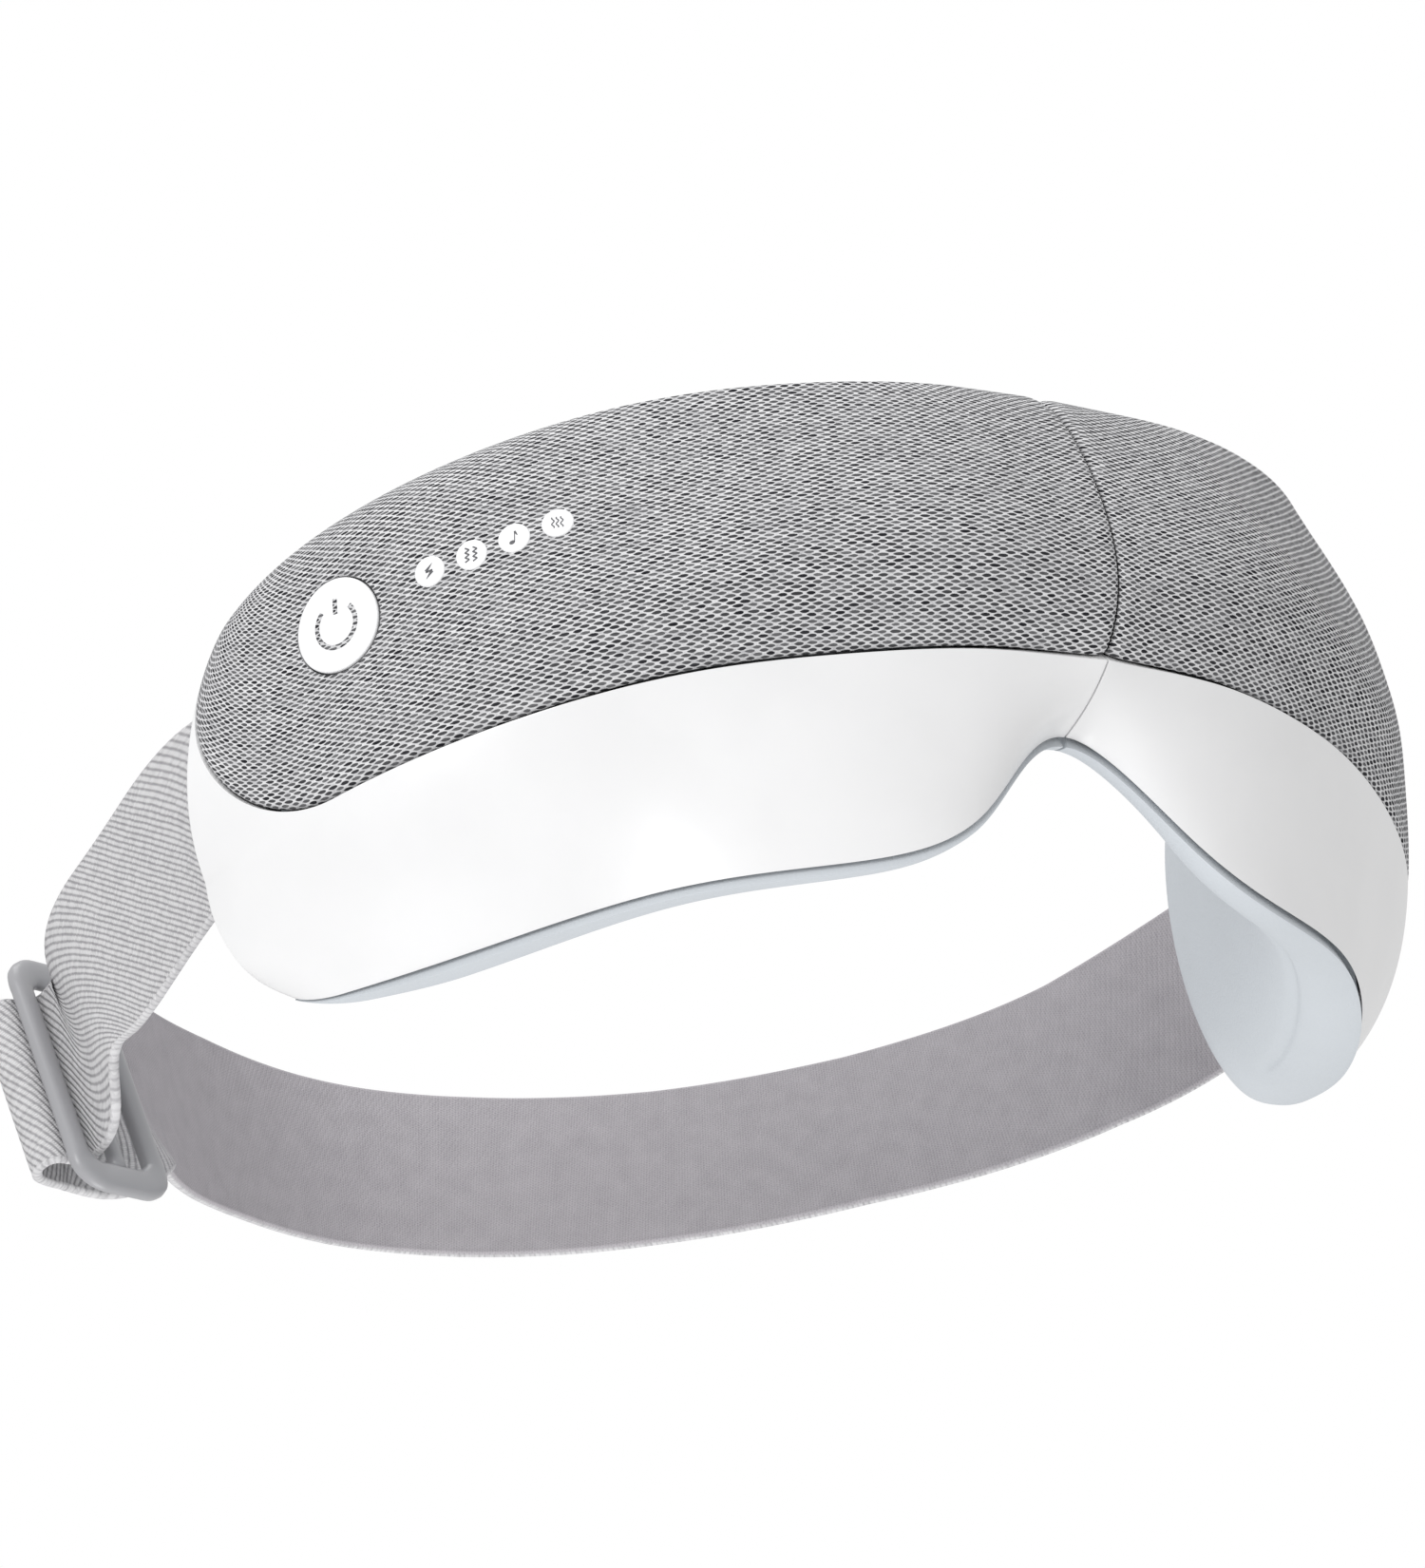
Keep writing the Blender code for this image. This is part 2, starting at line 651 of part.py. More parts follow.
def ribbon(name, slot, centre, lean, samples, side=RIGHT, width=STRAP_WIDTH, wall=STRAP_WALL):
    """A strap along a hand-chosen centre line, its width leaning as the strap hangs."""
    share = np.linspace(0, 1, len(centre))
    at = np.linspace(0, 1, samples)
    middle = spline(share, np.array(centre, float), at)
    tilt = np.stack([np.interp(at, [row[0] for row in lean], [row[i] for row in lean]) for i in (1, 2)], 1)
    along = np.gradient(middle, axis=0)
    along /= np.linalg.norm(along, axis=1, keepdims=True)
    up = np.concatenate([tilt, np.ones((samples, 1))], 1)
    up -= (up * along).sum(1, keepdims=True) * along
    up /= np.linalg.norm(up, axis=1, keepdims=True)
    face = np.cross(along, up)
    corners = [(0.5, 0.5), (-0.5, 0.5), (-0.5, -0.5), (0.5, -0.5)]
    rings = np.stack([middle + face * wall * a + up * width * b for a, b in corners], 1)
    return loft(name, slot, rings, side)


def strap_lead(side):
    """The strap's first points: inside the end cap, in its slot, and just out of it."""
    slot, _ = stand(END_CAP_U, STRAP_OUT, STRAP_SLOT_Z, side)
    along = plan(np.array(END_CAP_U))[1]
    return tuple((slot[0] + run * along[0] * side, slot[1] + run * along[1], slot[2]) for run in (-4, 1, 6))


def widened(points):
    """The points as far across as the mask's own width puts them."""
    return tuple((x * WIDTH_SCALE, y, z) for x, y, z in points)


def add_straps():
    ribbon("strap_back", "strap_webbing", strap_lead(RIGHT) + widened(BACK_STRAP), BACK_STRAP_LEAN, 44)
    ribbon("strap_side", "strap_webbing", strap_lead(LEFT) + widened(SIDE_STRAP), SIDE_STRAP_LEAN, 18)


def buckle_matrix():
    along = Vector(BUCKLE_ALONG).normalized()
    up = Vector(BUCKLE_UP)
    up = (up - up.dot(along) * along).normalized()
    out = along.cross(up)
    turn = Matrix((along, up, out)).transposed().to_4x4()
    return Matrix.Translation(Vector(widened([BUCKLE_CENTRE])[0]) * MM) @ turn


def add_buckle():
    """A tri-glide: two outer bars, a centre bar and end walls. Its local X is the way it slides."""
    length = STRAP_WIDTH + 2 * (BUCKLE_END_WALL + SLOT_CLEARANCE / 2)
    matrix = buckle_matrix()
    made = shape("buckle", "buckle_plastic", matrix, box((BUCKLE_WIDTH, length, BUCKLE_THICKNESS)))
    slot = (BUCKLE_WIDTH - 3 * BUCKLE_BAR) / 2
    for place_x in (-1, 1):
        offset = Matrix.Translation(Vector((place_x * (slot + BUCKLE_BAR) / 2, 0, 0)) * MM)
        boxed_hole(made, matrix @ offset, (slot, STRAP_WIDTH + SLOT_CLEARANCE, 8 * BUCKLE_THICKNESS))
    round_edges(made, 0.5)
    return made


def add_strap_fold():
    """The turn of strap that stands out past the buckle's outer bar and runs back behind it."""
    slot = (BUCKLE_WIDTH - 3 * BUCKLE_BAR) / 2
    outer = -BUCKLE_WIDTH / 2
    behind = -BUCKLE_THICKNESS / 2 - GAP - STRAP_WALL / 2
    turn = np.linspace(math.pi / 2, 3 * math.pi / 2, 11)
    centre_x = outer - 1.0
    lead = [(outer + BUCKLE_BAR + slot * 0.5, behind), (outer + BUCKLE_BAR * 0.5, behind - 0.1)]
    bend = [
        (centre_x + FOLD_RADIUS * math.cos(a) * 1.1, behind - FOLD_RADIUS + FOLD_RADIUS * math.sin(a))
        for a in turn
    ]
    tail = [(outer + 3.0, behind - 2 * FOLD_RADIUS), (outer + 8.0, behind - 2 * FOLD_RADIUS)]
    line = np.array(lead + bend + tail)
    along = np.gradient(line, axis=0)
    along /= np.linalg.norm(along, axis=1, keepdims=True)
    normal = np.stack([-along[:, 1], along[:, 0]], 1)
    half = STRAP_WIDTH / 2
    matrix = np.array(buckle_matrix())
    rings = []
    for shift, height in ((0.5, half), (-0.5, half), (-0.5, -half), (0.5, -half)):
        flat = line + normal * STRAP_WALL * shift
        local = np.stack([flat[:, 0], 0 * flat[:, 0] + height, flat[:, 1]], 1)
        rings.append(local @ matrix[:3, :3].T + matrix[:3, 3] / MM)
    return loft("strap_fold", "strap_webbing", np.stack(rings, 1), RIGHT)


def upright(x, y, z):
    return Matrix.Translation(Vector((x, y, z)) * MM)


def add_hinge():
    """Two brackets whose knuckles share one upright pin behind the bridge."""
    pitch = HINGE_KNUCKLE + HINGE_KNUCKLE_GAP
    knuckles = {"right": (0, 2), "left": (1,)}
    height = 3 * HINGE_KNUCKLE + 2 * HINGE_KNUCKLE_GAP
    middle = HINGE_BOTTOM + height / 2
    bore = HINGE_PIN_RADIUS + HINGE_RUNNING_GAP
    for side, name in SIDES:
        leaf_y = min(REAR_EDGE_Y) - GAP - HINGE_LEAF_WALL / 2 - 0.2
        reach = HINGE_LEAF_REACH - 1.0
        leaf_x = (HINGE_LEAF_REACH + 1.0) / 2
        leaf_size = (reach, HINGE_LEAF_WALL, height)
        leaf = shape("hinge_bracket_" + name, "steel", upright(side * leaf_x, leaf_y, middle), box(leaf_size))
        for number in knuckles[name]:
            z = HINGE_BOTTOM + HINGE_KNUCKLE / 2 + number * pitch
            web = shape(
                f"web_{name}_{number}",
                "steel",
                upright(side * 2.4, (leaf_y + HINGE_Y) / 2 - 0.9, z),
                box((3.6, HINGE_Y - leaf_y - 0.6, HINGE_KNUCKLE)),
                CUTTERS,
            )
            cut(leaf, web, "UNION")
            barrel = shape(
                f"knuckle_{name}_{number}",
                "steel",
                upright(0, HINGE_Y, z),
                rod(HINGE_BARREL_RADIUS, HINGE_KNUCKLE, 24),
                CUTTERS,
            )
            cut(leaf, barrel, "UNION")
        hole(leaf, upright(0, HINGE_Y, middle), bore, height + 10)
    top = HINGE_BOTTOM + height
    profile = [
        (0, top + GAP + HINGE_PIN_HEAD),
        (HINGE_PIN_RADIUS + 1.0, top + GAP + HINGE_PIN_HEAD),
        (HINGE_PIN_RADIUS + 1.0, top + GAP),
        (HINGE_PIN_RADIUS, top + GAP),
        (HINGE_PIN_RADIUS, HINGE_BOTTOM - 0.8),
        (0, HINGE_BOTTOM - 0.8),
    ]
    turned("hinge_pin", "steel", upright(0, HINGE_Y, 0), profile)


def add_button(fabric, carrier):
    """Power button: a round cap on a stem, guided by holes in the fabric cover and its carrier."""
    cap_depth = BUTTON_THICKNESS - BUTTON_PROUD
    point, normal = on_skin(BUTTON_U, BUTTON_V, 0.0, LEFT)
    matrix = frame_matrix(point, normal)
    back = -cap_depth
    profile = [
        (0, BUTTON_PROUD),
        (BUTTON_RADIUS - 0.4, BUTTON_PROUD),
        (BUTTON_RADIUS, BUTTON_PROUD - 0.4),
        (BUTTON_RADIUS, back),
        (STEM_RADIUS, back),
        (STEM_RADIUS, back - STEM_LENGTH - BUTTON_TRAVEL),
        (0, back - STEM_LENGTH - BUTTON_TRAVEL),
    ]
    turned("power_button", "button_white", matrix, profile, 40)
    hole(fabric, matrix, BUTTON_RADIUS + BUTTON_CLEARANCE, 8.0)
    hole(carrier, matrix, STEM_RADIUS + BUTTON_CLEARANCE, 12.0)
    end = back - STEM_LENGTH - BUTTON_TRAVEL
    switch_middle = Matrix.Translation(Vector((0, 0, end - BUTTON_TRAVEL - GAP - SWITCH[1] / 2)) * MM)
    shape("tact_switch", "dark_plastic", matrix @ switch_middle, box((SWITCH[0], SWITCH[2], SWITCH[1])))


def add_windows(fabric):
    for name, u, v in WINDOW_PLACES:
        point, normal = on_skin(u, v, 0.0, LEFT)
        matrix = frame_matrix(point, normal)
        top = WINDOW_PROUD
        bottom = -FABRIC_WALL + 0.1
        profile = [(0, top), (WINDOW_RADIUS, top), (WINDOW_RADIUS, bottom), (0, bottom)]
        turned(name, "button_white", matrix, profile, 24)
        hole(fabric, matrix, WINDOW_RADIUS + 0.2, 6.0)


def add_screws(side, name, carrier, frame):
    """Screws through the rear frame into bosses on the front carrier."""
    for number, (u, v) in enumerate(SCREW_PLACES, 1):
        out, z = section(np.array(u), np.array(v))
        point, outwards = stand(u, 0.0, z, side)
        matrix = frame_matrix(point, outwards)
        boss_height = float(out) - FABRIC_WALL - GAP - CARRIER_WALL / 2
        boss = shape(
            f"boss_{name}_{number}",
            "carrier_plastic",
            matrix @ Matrix.Translation((0, 0, boss_height / 2 * MM)),
            rod(SCREW_RADIUS + SCREW_CLEARANCE + BOSS_WALL, boss_height, 16),
            CUTTERS,
        )
        cut(carrier, boss, "UNION")
        hole(carrier, matrix @ Matrix.Translation((0, 0, 1.8 * MM)), SCREW_RADIUS + SCREW_CLEARANCE, 4.2)
        hole(frame, matrix @ Matrix.Translation((0, 0, -GAP * MM)), SCREW_RADIUS + SCREW_CLEARANCE, 6.0)
        recess = matrix @ Matrix.Translation((0, 0, (-GAP - FRAME_WALL) * MM))
        hole(frame, recess, SCREW_HEAD_RADIUS + SCREW_CLEARANCE, 2 * (SCREW_HEAD_HEIGHT + 0.2))
        head_low = -GAP - FRAME_WALL
        profile = [
            (0, head_low + SCREW_LENGTH),
            (SCREW_RADIUS, head_low + SCREW_LENGTH),
            (SCREW_RADIUS, head_low + SCREW_HEAD_HEIGHT),
            (SCREW_HEAD_RADIUS, head_low + SCREW_HEAD_HEIGHT),
            (SCREW_HEAD_RADIUS, head_low),
            (0, head_low),
        ]
        turned(f"frame_screw_{name}_{number}", "steel", matrix, profile, 16)


def inner_box(name, slot, where, out, size, side):
    """A block standing in the casing: its length along the plan line, its thickness outwards."""
    point, outwards = stand(where[0], out, where[1] * HEIGHT_SCALE, side)
    length, thickness, height = size
    return shape(name, slot, frame_matrix(point, outwards), box((length, height, thickness)))


def inner_disc(name, slot, where, radius, thickness, side):
    point, outwards = stand(where[0], thickness / 2 + INNER_GAP, where[1] * HEIGHT_SCALE, side)
    return shape(name, slot, frame_matrix(point, outwards), rod(radius, thickness))


def add_port():
    """The charging port, in the outer side of the right lower shell, with its open mouth flush."""
    point, normal = skin_place(PORT_U, PORT_V, 0.0)
    along = plan(np.array(PORT_U))[1]
    matrix = frame_matrix(point, normal, np.cross(normal, (along[0], along[1], 0.0)))
    length, depth, height = PORT
    middle = matrix @ Matrix.Translation(Vector((0, 0, PORT_PROUD - depth / 2)) * MM)
    port = shape("charging_port", "steel", middle, box((length, height, depth)))
    mouth = matrix @ Matrix.Translation(Vector((0, 0, PORT_PROUD)) * MM)
    inner = (length - 2 * PORT_WALL, height - 2 * PORT_WALL, 2 * (depth - PORT_WALL))
    boxed_hole(port, mouth, inner)
    shell = bpy.data.objects["lower_shell_right"]
    boxed_hole(shell, matrix, (length + 2 * GAP, height + 2 * GAP, 12.0))


def add_inside():
    """Electronics, pump and valve in the left half; battery and charging in the right; sound in both."""
    inner_box("main_board", "circuit_board", MAIN_BOARD_PLACE, MAIN_BOARD_OUT, MAIN_BOARD, LEFT)
    pump_u, pump_z = PUMP_PLACE
    pump_point, _ = stand(pump_u, PUMP_RADIUS + 2 * INNER_GAP, pump_z * HEIGHT_SCALE, LEFT)
    along = plan(np.array(pump_u))[1]
    pump = frame_matrix(pump_point, (-along[0], along[1], 0.0))
    shape("air_pump", "dark_plastic", pump, rod(PUMP_RADIUS, PUMP_LENGTH))
    inner_box("release_valve", "dark_plastic", VALVE_PLACE, VALVE[1] / 2 + INNER_GAP, VALVE, LEFT)
    inner_box("battery", "cell_foil", BATTERY_PLACE, BATTERY[1] / 2 + GAP, BATTERY, RIGHT)
    inner_box("charge_board", "circuit_board", CHARGE_BOARD_PLACE, CHARGE_BOARD_OUT, CHARGE_BOARD, RIGHT)
    for side, name in SIDES:
        inner_disc("speaker_" + name, "dark_plastic", SPEAKER_PLACE, SPEAKER_RADIUS, SPEAKER_THICKNESS, side)
        inner_disc("vibration_motor_" + name, "steel", MOTOR_PLACE, MOTOR_RADIUS, MOTOR_THICKNESS, side)
    add_port()


def build():
    for side, name in SIDES:
        fabric = add_fabric_cover(side, name)
        carrier = add_front_carrier(side, name)
        add_lower_shell(side, name)
        frame = add_rear_frame(side, name)
        add_cushion(side, name)
        add_pocket(side, name)
        add_end_cap(side, name)
        add_strap_anchor(side, name)
        if side == LEFT:
            add_button(fabric, carrier)
            add_windows(fabric)
        add_screws(side, name, carrier, frame)
    add_inside()
    add_hinge()
    add_straps()
    add_buckle()
    add_strap_fold()


build()
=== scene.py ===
# %% [markdown]
# # An eye massager mask
#
# The mask has a knitted front, a glossy white lower shell, soft leatherette cushions behind, and an
# elastic strap that runs through a sliding buckle. The mechanical model is already made, so this
# lesson loads it as a fixed frame and builds the looks around it. Every new piece but the strap rides
# on one of the frame's bodies, so it still moves when the mask folds.

import json
import math

import bmesh
import bpy
import numpy as np
from mathutils import Matrix, Vector


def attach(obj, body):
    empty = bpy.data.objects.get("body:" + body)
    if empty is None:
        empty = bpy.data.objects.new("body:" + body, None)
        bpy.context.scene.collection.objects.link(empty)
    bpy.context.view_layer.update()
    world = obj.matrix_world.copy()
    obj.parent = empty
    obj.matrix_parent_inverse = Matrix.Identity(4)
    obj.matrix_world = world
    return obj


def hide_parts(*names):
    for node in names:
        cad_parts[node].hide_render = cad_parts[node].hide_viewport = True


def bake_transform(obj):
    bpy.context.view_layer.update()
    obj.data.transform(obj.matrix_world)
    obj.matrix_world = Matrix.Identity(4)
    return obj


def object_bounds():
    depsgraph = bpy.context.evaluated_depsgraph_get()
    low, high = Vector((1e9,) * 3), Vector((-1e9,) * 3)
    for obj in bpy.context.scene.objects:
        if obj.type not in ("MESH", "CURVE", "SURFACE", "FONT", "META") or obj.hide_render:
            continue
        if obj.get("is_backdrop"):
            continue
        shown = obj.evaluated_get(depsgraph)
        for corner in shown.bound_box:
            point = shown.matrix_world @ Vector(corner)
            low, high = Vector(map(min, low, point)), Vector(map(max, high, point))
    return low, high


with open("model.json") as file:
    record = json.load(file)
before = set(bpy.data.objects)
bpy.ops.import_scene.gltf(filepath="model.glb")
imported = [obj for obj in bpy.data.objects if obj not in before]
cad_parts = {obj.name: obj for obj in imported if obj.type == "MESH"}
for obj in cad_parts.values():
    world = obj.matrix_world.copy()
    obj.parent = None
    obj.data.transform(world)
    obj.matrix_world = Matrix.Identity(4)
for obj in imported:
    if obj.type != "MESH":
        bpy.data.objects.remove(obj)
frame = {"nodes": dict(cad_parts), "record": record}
cad_low, cad_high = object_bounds()
MM = 0.001
link = bpy.context.scene.collection.objects.link
RIGHT, LEFT = 1, -1
SIDES = ((RIGHT, "right"), (LEFT, "left"))

# %% [markdown]
# ## The camera and the studio
#
# The camera stands low and to the wearer's right, and looks up at the mask a little rolled. Three
# angles and a distance from the nose bridge give its place. The floor lies well below, so the mask
# hangs in clear white air as in a product picture.

# %% Camera
IMAGE_WIDTH, IMAGE_HEIGHT = 1500, 1650
CAMERA_AZIMUTH, CAMERA_ELEVATION, CAMERA_ROLL = (math.radians(a) for a in (-33.4, -19.6, 4.95))
CAMERA_DISTANCE = 0.802
FOCAL_LENGTH = 3.8788  # in image heights
# The nose bridge from the middle of the view, in image widths and heights.
BRIDGE_IN_VIEW = (0.2769, -0.0791)
SENSOR = 36.0

across = BRIDGE_IN_VIEW[0] * IMAGE_WIDTH / IMAGE_HEIGHT * CAMERA_DISTANCE / FOCAL_LENGTH
down = BRIDGE_IN_VIEW[1] * CAMERA_DISTANCE / FOCAL_LENGTH
camera = bpy.data.objects.new("camera", bpy.data.cameras.new("camera"))
camera.data.sensor_width = SENSOR
camera.data.lens = SENSOR * FOCAL_LENGTH
camera.data.clip_start = 0.05
turn = (
    Matrix.Rotation(CAMERA_AZIMUTH, 4, "Z")
    @ Matrix.Rotation(math.pi / 2 - CAMERA_ELEVATION, 4, "X")
    @ Matrix.Rotation(-CAMERA_ROLL, 4, "Z")
)
camera.matrix_world = turn @ Matrix.Translation((-across, down, CAMERA_DISTANCE))
link(camera)
bpy.context.scene.camera = camera
print("camera at", [round(x, 3) for x in camera.matrix_world.translation])

# %% Floor, world and lights
FLOOR_Z, FLOOR_HALF = -0.6, 6
SKY_LIGHT = 0.74  # what the sky lends the mask; the camera sees it at full white


def add_light(name, spot, size, power, aim=(0, 0.06, 0)):
    """A square soft box at spot, turned to face aim."""
    light = bpy.data.lights.new(name, "AREA")
    light.energy = power
    light.shape = "SQUARE"
    light.size = size
    made = bpy.data.objects.new(name, light)
    made.location = spot
    made.rotation_euler = (Vector(aim) - Vector(spot)).to_track_quat("-Z", "Y").to_euler()
    link(made)
    return made


floor_mesh = bpy.data.meshes.new("floor")
signs = ((-1, -1), (1, -1), (1, 1), (-1, 1))
corners = [(x * FLOOR_HALF, y * FLOOR_HALF, FLOOR_Z) for x, y in signs]
floor_mesh.from_pydata(corners, [], [(0, 1, 2, 3)])
floor = bpy.data.objects.new("floor", floor_mesh)
link(floor)
floor_paint = bpy.data.materials.new("floor_paint")
floor_paint.use_nodes = True
floor_look = floor_paint.node_tree.nodes["Principled BSDF"].inputs
floor_look["Base Color"].default_value = (0.9, 0.9, 0.9, 1)
floor_look["Roughness"].default_value = 0.9
floor_mesh.materials.append(floor_paint)
floor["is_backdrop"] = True

world = bpy.data.worlds.new("studio")
world.use_nodes = True
tree = world.node_tree
sky = tree.nodes["Background"]
sky.inputs["Color"].default_value = (1, 1, 1, 1)
sky.inputs["Strength"].default_value = SKY_LIGHT
backdrop = tree.nodes.new("ShaderNodeBackground")
backdrop.inputs["Color"].default_value = (1, 1, 1, 1)
seen = tree.nodes.new("ShaderNodeLightPath")
blend = tree.nodes.new("ShaderNodeMixShader")
for start, end in (
    (seen.outputs["Is Camera Ray"], blend.inputs[0]),
    (sky.outputs[0], blend.inputs[1]),
    (backdrop.outputs[0], blend.inputs[2]),
    (blend.outputs[0], tree.nodes["World Output"].inputs[0]),
):
    tree.links.new(start, end)
bpy.context.scene.world = world
bpy.context.scene.view_settings.view_transform = "Standard"
add_light("key_light", (-0.9, -0.5, 0.25), 0.6, 5.0)
add_light("top_light", (-0.1, 0.1, 1.0), 0.7, 3.0)
inner_light = add_light("inner_light", (-0.05, 0.13, -0.25), 0.15, 0.22, (0.08, 0.09, -0.02))
inner_light.visible_camera = False
print("studio: three soft boxes over a pale floor")

# %% [markdown]
# ## The casing's surface
#
# Fabric, shell and cushions all follow one smooth surface. Its plan line is the casing's rear edge,
# from the nose bridge (u = 0) to the temple (u = 1). At each u a section bulges forwards from it, from
# the lower edge (v = 0) to the top (v = 1). Only six sections are drawn, in millimetres, and a cubic
# spline runs through them, so the surface has no flats.

# %% The surface's six stations
STATION_U = (0.0, 0.2, 0.4, 0.6, 0.8, 1.0)
REAR_EDGE_X = (0.0, 17.0, 35.5, 55.5, 73.0, 82.0)
REAR_EDGE_Y = (11.0, 7.5, 11.0, 24.5, 48.5, 80.0)
SECTION_V = (0.0, 0.22, 0.42, 0.7, 1.0)
SECTION_OUT = (
    (0, 11.5, 16.5, 11, 0),
    (0, 6.5, 12.5, 7, 0),
    (0, 4, 9, 4.5, 0),
    (0, 5.5, 9.5, 4.5, 0),
    (0, 11, 11, 9.9, 0),
    (0, 12, 14, 8.2, 0),
)
SECTION_Z = (
    (-7, 0, 10.5, 31, 42),
    (-21, 0, 11, 29.5, 40),
    (-28.5, -1, 10, 28, 38.8),
    (-30, -3, 6.5, 27, 38),
    (-33, -9, 7, 24.5, 34.7),
    (-31.5, -15.5, 0, 19.5, 26.8),
)
CENTRE_SLOPE = 85.0
SEAM_GAP = 0.5
CENTRE_U = SEAM_GAP / 2 / CENTRE_SLOPE
FABRIC_LINE_V = SECTION_V[1]
FABRIC_CORNER_U = 0.86
FABRIC_CORNER_RISE = 0.38
CORNER_LIFT, CORNER_START_U = 2.8, 0.93
TEMPLE_BULGE, TEMPLE_START_U = 1.6, 0.7
print("sections:", len(STATION_U), "of", len(SECTION_V), "points")

# %% Curves through the stations


def smooth_step(value):
    """0 up to 0, 1 from 1 on, and three squares less two cubes between."""
    value = np.clip(value, 0, 1)
    return value**2 * (3 - 2 * value)


def past(u, start):
    """How far u has gone from start to the temple, from 0 to 1."""
    return np.clip((u - start) / (1 - start), 0, 1)


def quarter_circle(share):
    """Rises from 0 to 1 as a quarter circle does, level at first."""
    return 1 - np.sqrt(1 - share**2)


def spline(knots, values, at, start_slope=None):
    """A cubic between each two knots, its slopes solved so that the curvature never jumps."""
    knots = np.asarray(knots, float)
    values = np.asarray(values, float)
    at = np.asarray(at, float)
    count = len(knots)
    step = np.diff(knots)
    flat = values.reshape(count, -1)
    rise = np.diff(flat, axis=0) / step[:, None]
    system = np.zeros((count, count))
    wanted = np.zeros(flat.shape)
    for i in range(1, count - 1):
        system[i, i - 1 : i + 2] = step[i], 2 * (step[i - 1] + step[i]), step[i - 1]
        wanted[i] = 3 * (step[i] * rise[i - 1] + step[i - 1] * rise[i])
    system[0, :2] = (1, 1) if start_slope is None else (1, 0)
    wanted[0] = 2 * rise[0] if start_slope is None else start_slope
    system[-1, -2:] = 1, 1
    wanted[-1] = 2 * rise[-1]
    slope = np.linalg.solve(system, wanted)
    cell = np.clip(np.searchsorted(knots, at, side="right") - 1, 0, count - 2)
    width = step[cell][..., None]
    t = ((at - knots[cell]) / step[cell])[..., None]
    found = (
        (2 * t**3 - 3 * t**2 + 1) * flat[cell]
        + (t**3 - 2 * t**2 + t) * width * slope[cell]
        + (3 * t**2 - 2 * t**3) * flat[cell + 1]
        + (t**3 - t**2) * width * slope[cell + 1]
    )
    return found.reshape(at.shape + values.shape[1:])


def plan(u):
    """Rear edge at u, and outwards there: the plan line's direction, turned a quarter."""
    nudge = 1e-4
    x = spline(STATION_U, REAR_EDGE_X, u, CENTRE_SLOPE)
    y = spline(STATION_U, REAR_EDGE_Y, u, 0.0)
    ahead_x = spline(STATION_U, REAR_EDGE_X, u + nudge, CENTRE_SLOPE) - x
    ahead_y = spline(STATION_U, REAR_EDGE_Y, u + nudge, 0.0) - y
    length = np.hypot(ahead_x, ahead_y)
    return np.stack([x, y], -1), np.stack([ahead_y, -ahead_x], -1) / length[..., None]


print("rear edge at u = 0.5:", plan(0.5)[0].round(1), "mm")

# %% The surface


def section(u, v):
    """How far the casing stands out at (u, v), and its height, rounded at the temple's corner."""
    rows = spline(STATION_U, np.stack([SECTION_OUT, SECTION_Z], -1), u, 0.0)
    weights = spline(SECTION_V, np.eye(len(SECTION_V)), v)
    found = np.einsum("...k,...kc->...c", weights, rows)
    below = np.clip(1 - v / FABRIC_LINE_V, 0, 1)
    lift = CORNER_LIFT * quarter_circle(past(u, CORNER_START_U)) * below**5
    bulge = TEMPLE_BULGE * smooth_step(past(u, TEMPLE_START_U)) * 4 * below * (1 - below)
    return found[..., 0] + 0.8 * bulge, found[..., 1] + lift - 0.6 * bulge


def place(u, out, z):
    """The point at station u, this far out from the rear edge, at height z."""
    u, out, z = np.broadcast_arrays(np.asarray(u, float), out, z)
    edge, outwards = plan(u)
    return np.concatenate([edge + outwards * out[..., None], z[..., None]], -1)


def surface(u, v, depth=0.0):
    """The point this far under the surface at (u, v), moved square to the section's own line."""
    u, v = np.broadcast_arrays(np.asarray(u, float), np.asarray(v, float))
    nudge = 1e-3
    out, z = section(u, v)
    out_above, z_above = section(u, v + nudge)
    out_below, z_below = section(u, v - nudge)
    run_out, run_z = out_above - out_below, z_above - z_below
    length = np.hypot(run_out, run_z)
    return place(u, np.clip(out - run_z / length * depth, 0, None), z + run_out / length * depth)


def edge_heights(u):
    """Heights of the casing's lower and top edges at u."""
    return section(u, 0 * u)[1], section(u, 0 * u + 1)[1]


def fabric_line(u):
    """v where fabric meets shell: level, then a quarter circle up at the temple."""
    return FABRIC_LINE_V + FABRIC_CORNER_RISE * quarter_circle(past(u, FABRIC_CORNER_U))


print("mask is", round(2 * float(surface(0.9, 0.3)[0]), 1), "mm across at u = 0.9")

# %% [markdown]
# ## Meshes from grids of points
#
# A sheet with a thickness is two grids of points joined by a strip along each of their four edges.
# Everything from the fabric to the smallest symbol is made that way. Each vertex also gets a place
# in millimetres over the surface, in which knit and webbing are drawn, so a stitch keeps its size.

# %% Mesh helpers


def arc_lengths(points):
    """Distance run along each of a grid's two directions."""
    runs = []
    for axis in (0, 1):
        step = np.linalg.norm(np.diff(points, axis=axis), axis=-1)
        runs.append(np.cumsum(np.insert(step, 0, 0, axis=axis), axis=axis))
    return np.stack(runs, -1)


def grid_faces(rows, columns, wrap_rows=False, wrap_columns=False):
    """Quads of a grid of points, closed on itself where a wrap is asked for."""
    index = np.arange(rows * columns).reshape(rows, columns)
    if wrap_rows:
        index = np.concatenate([index, index[:1]], 0)
    if wrap_columns:
        index = np.concatenate([index, index[:, :1]], 1)
    corners = (index[:-1, :-1], index[1:, :-1], index[1:, 1:], index[:-1, 1:])
    return np.stack(corners, -1).reshape(-1, 4)


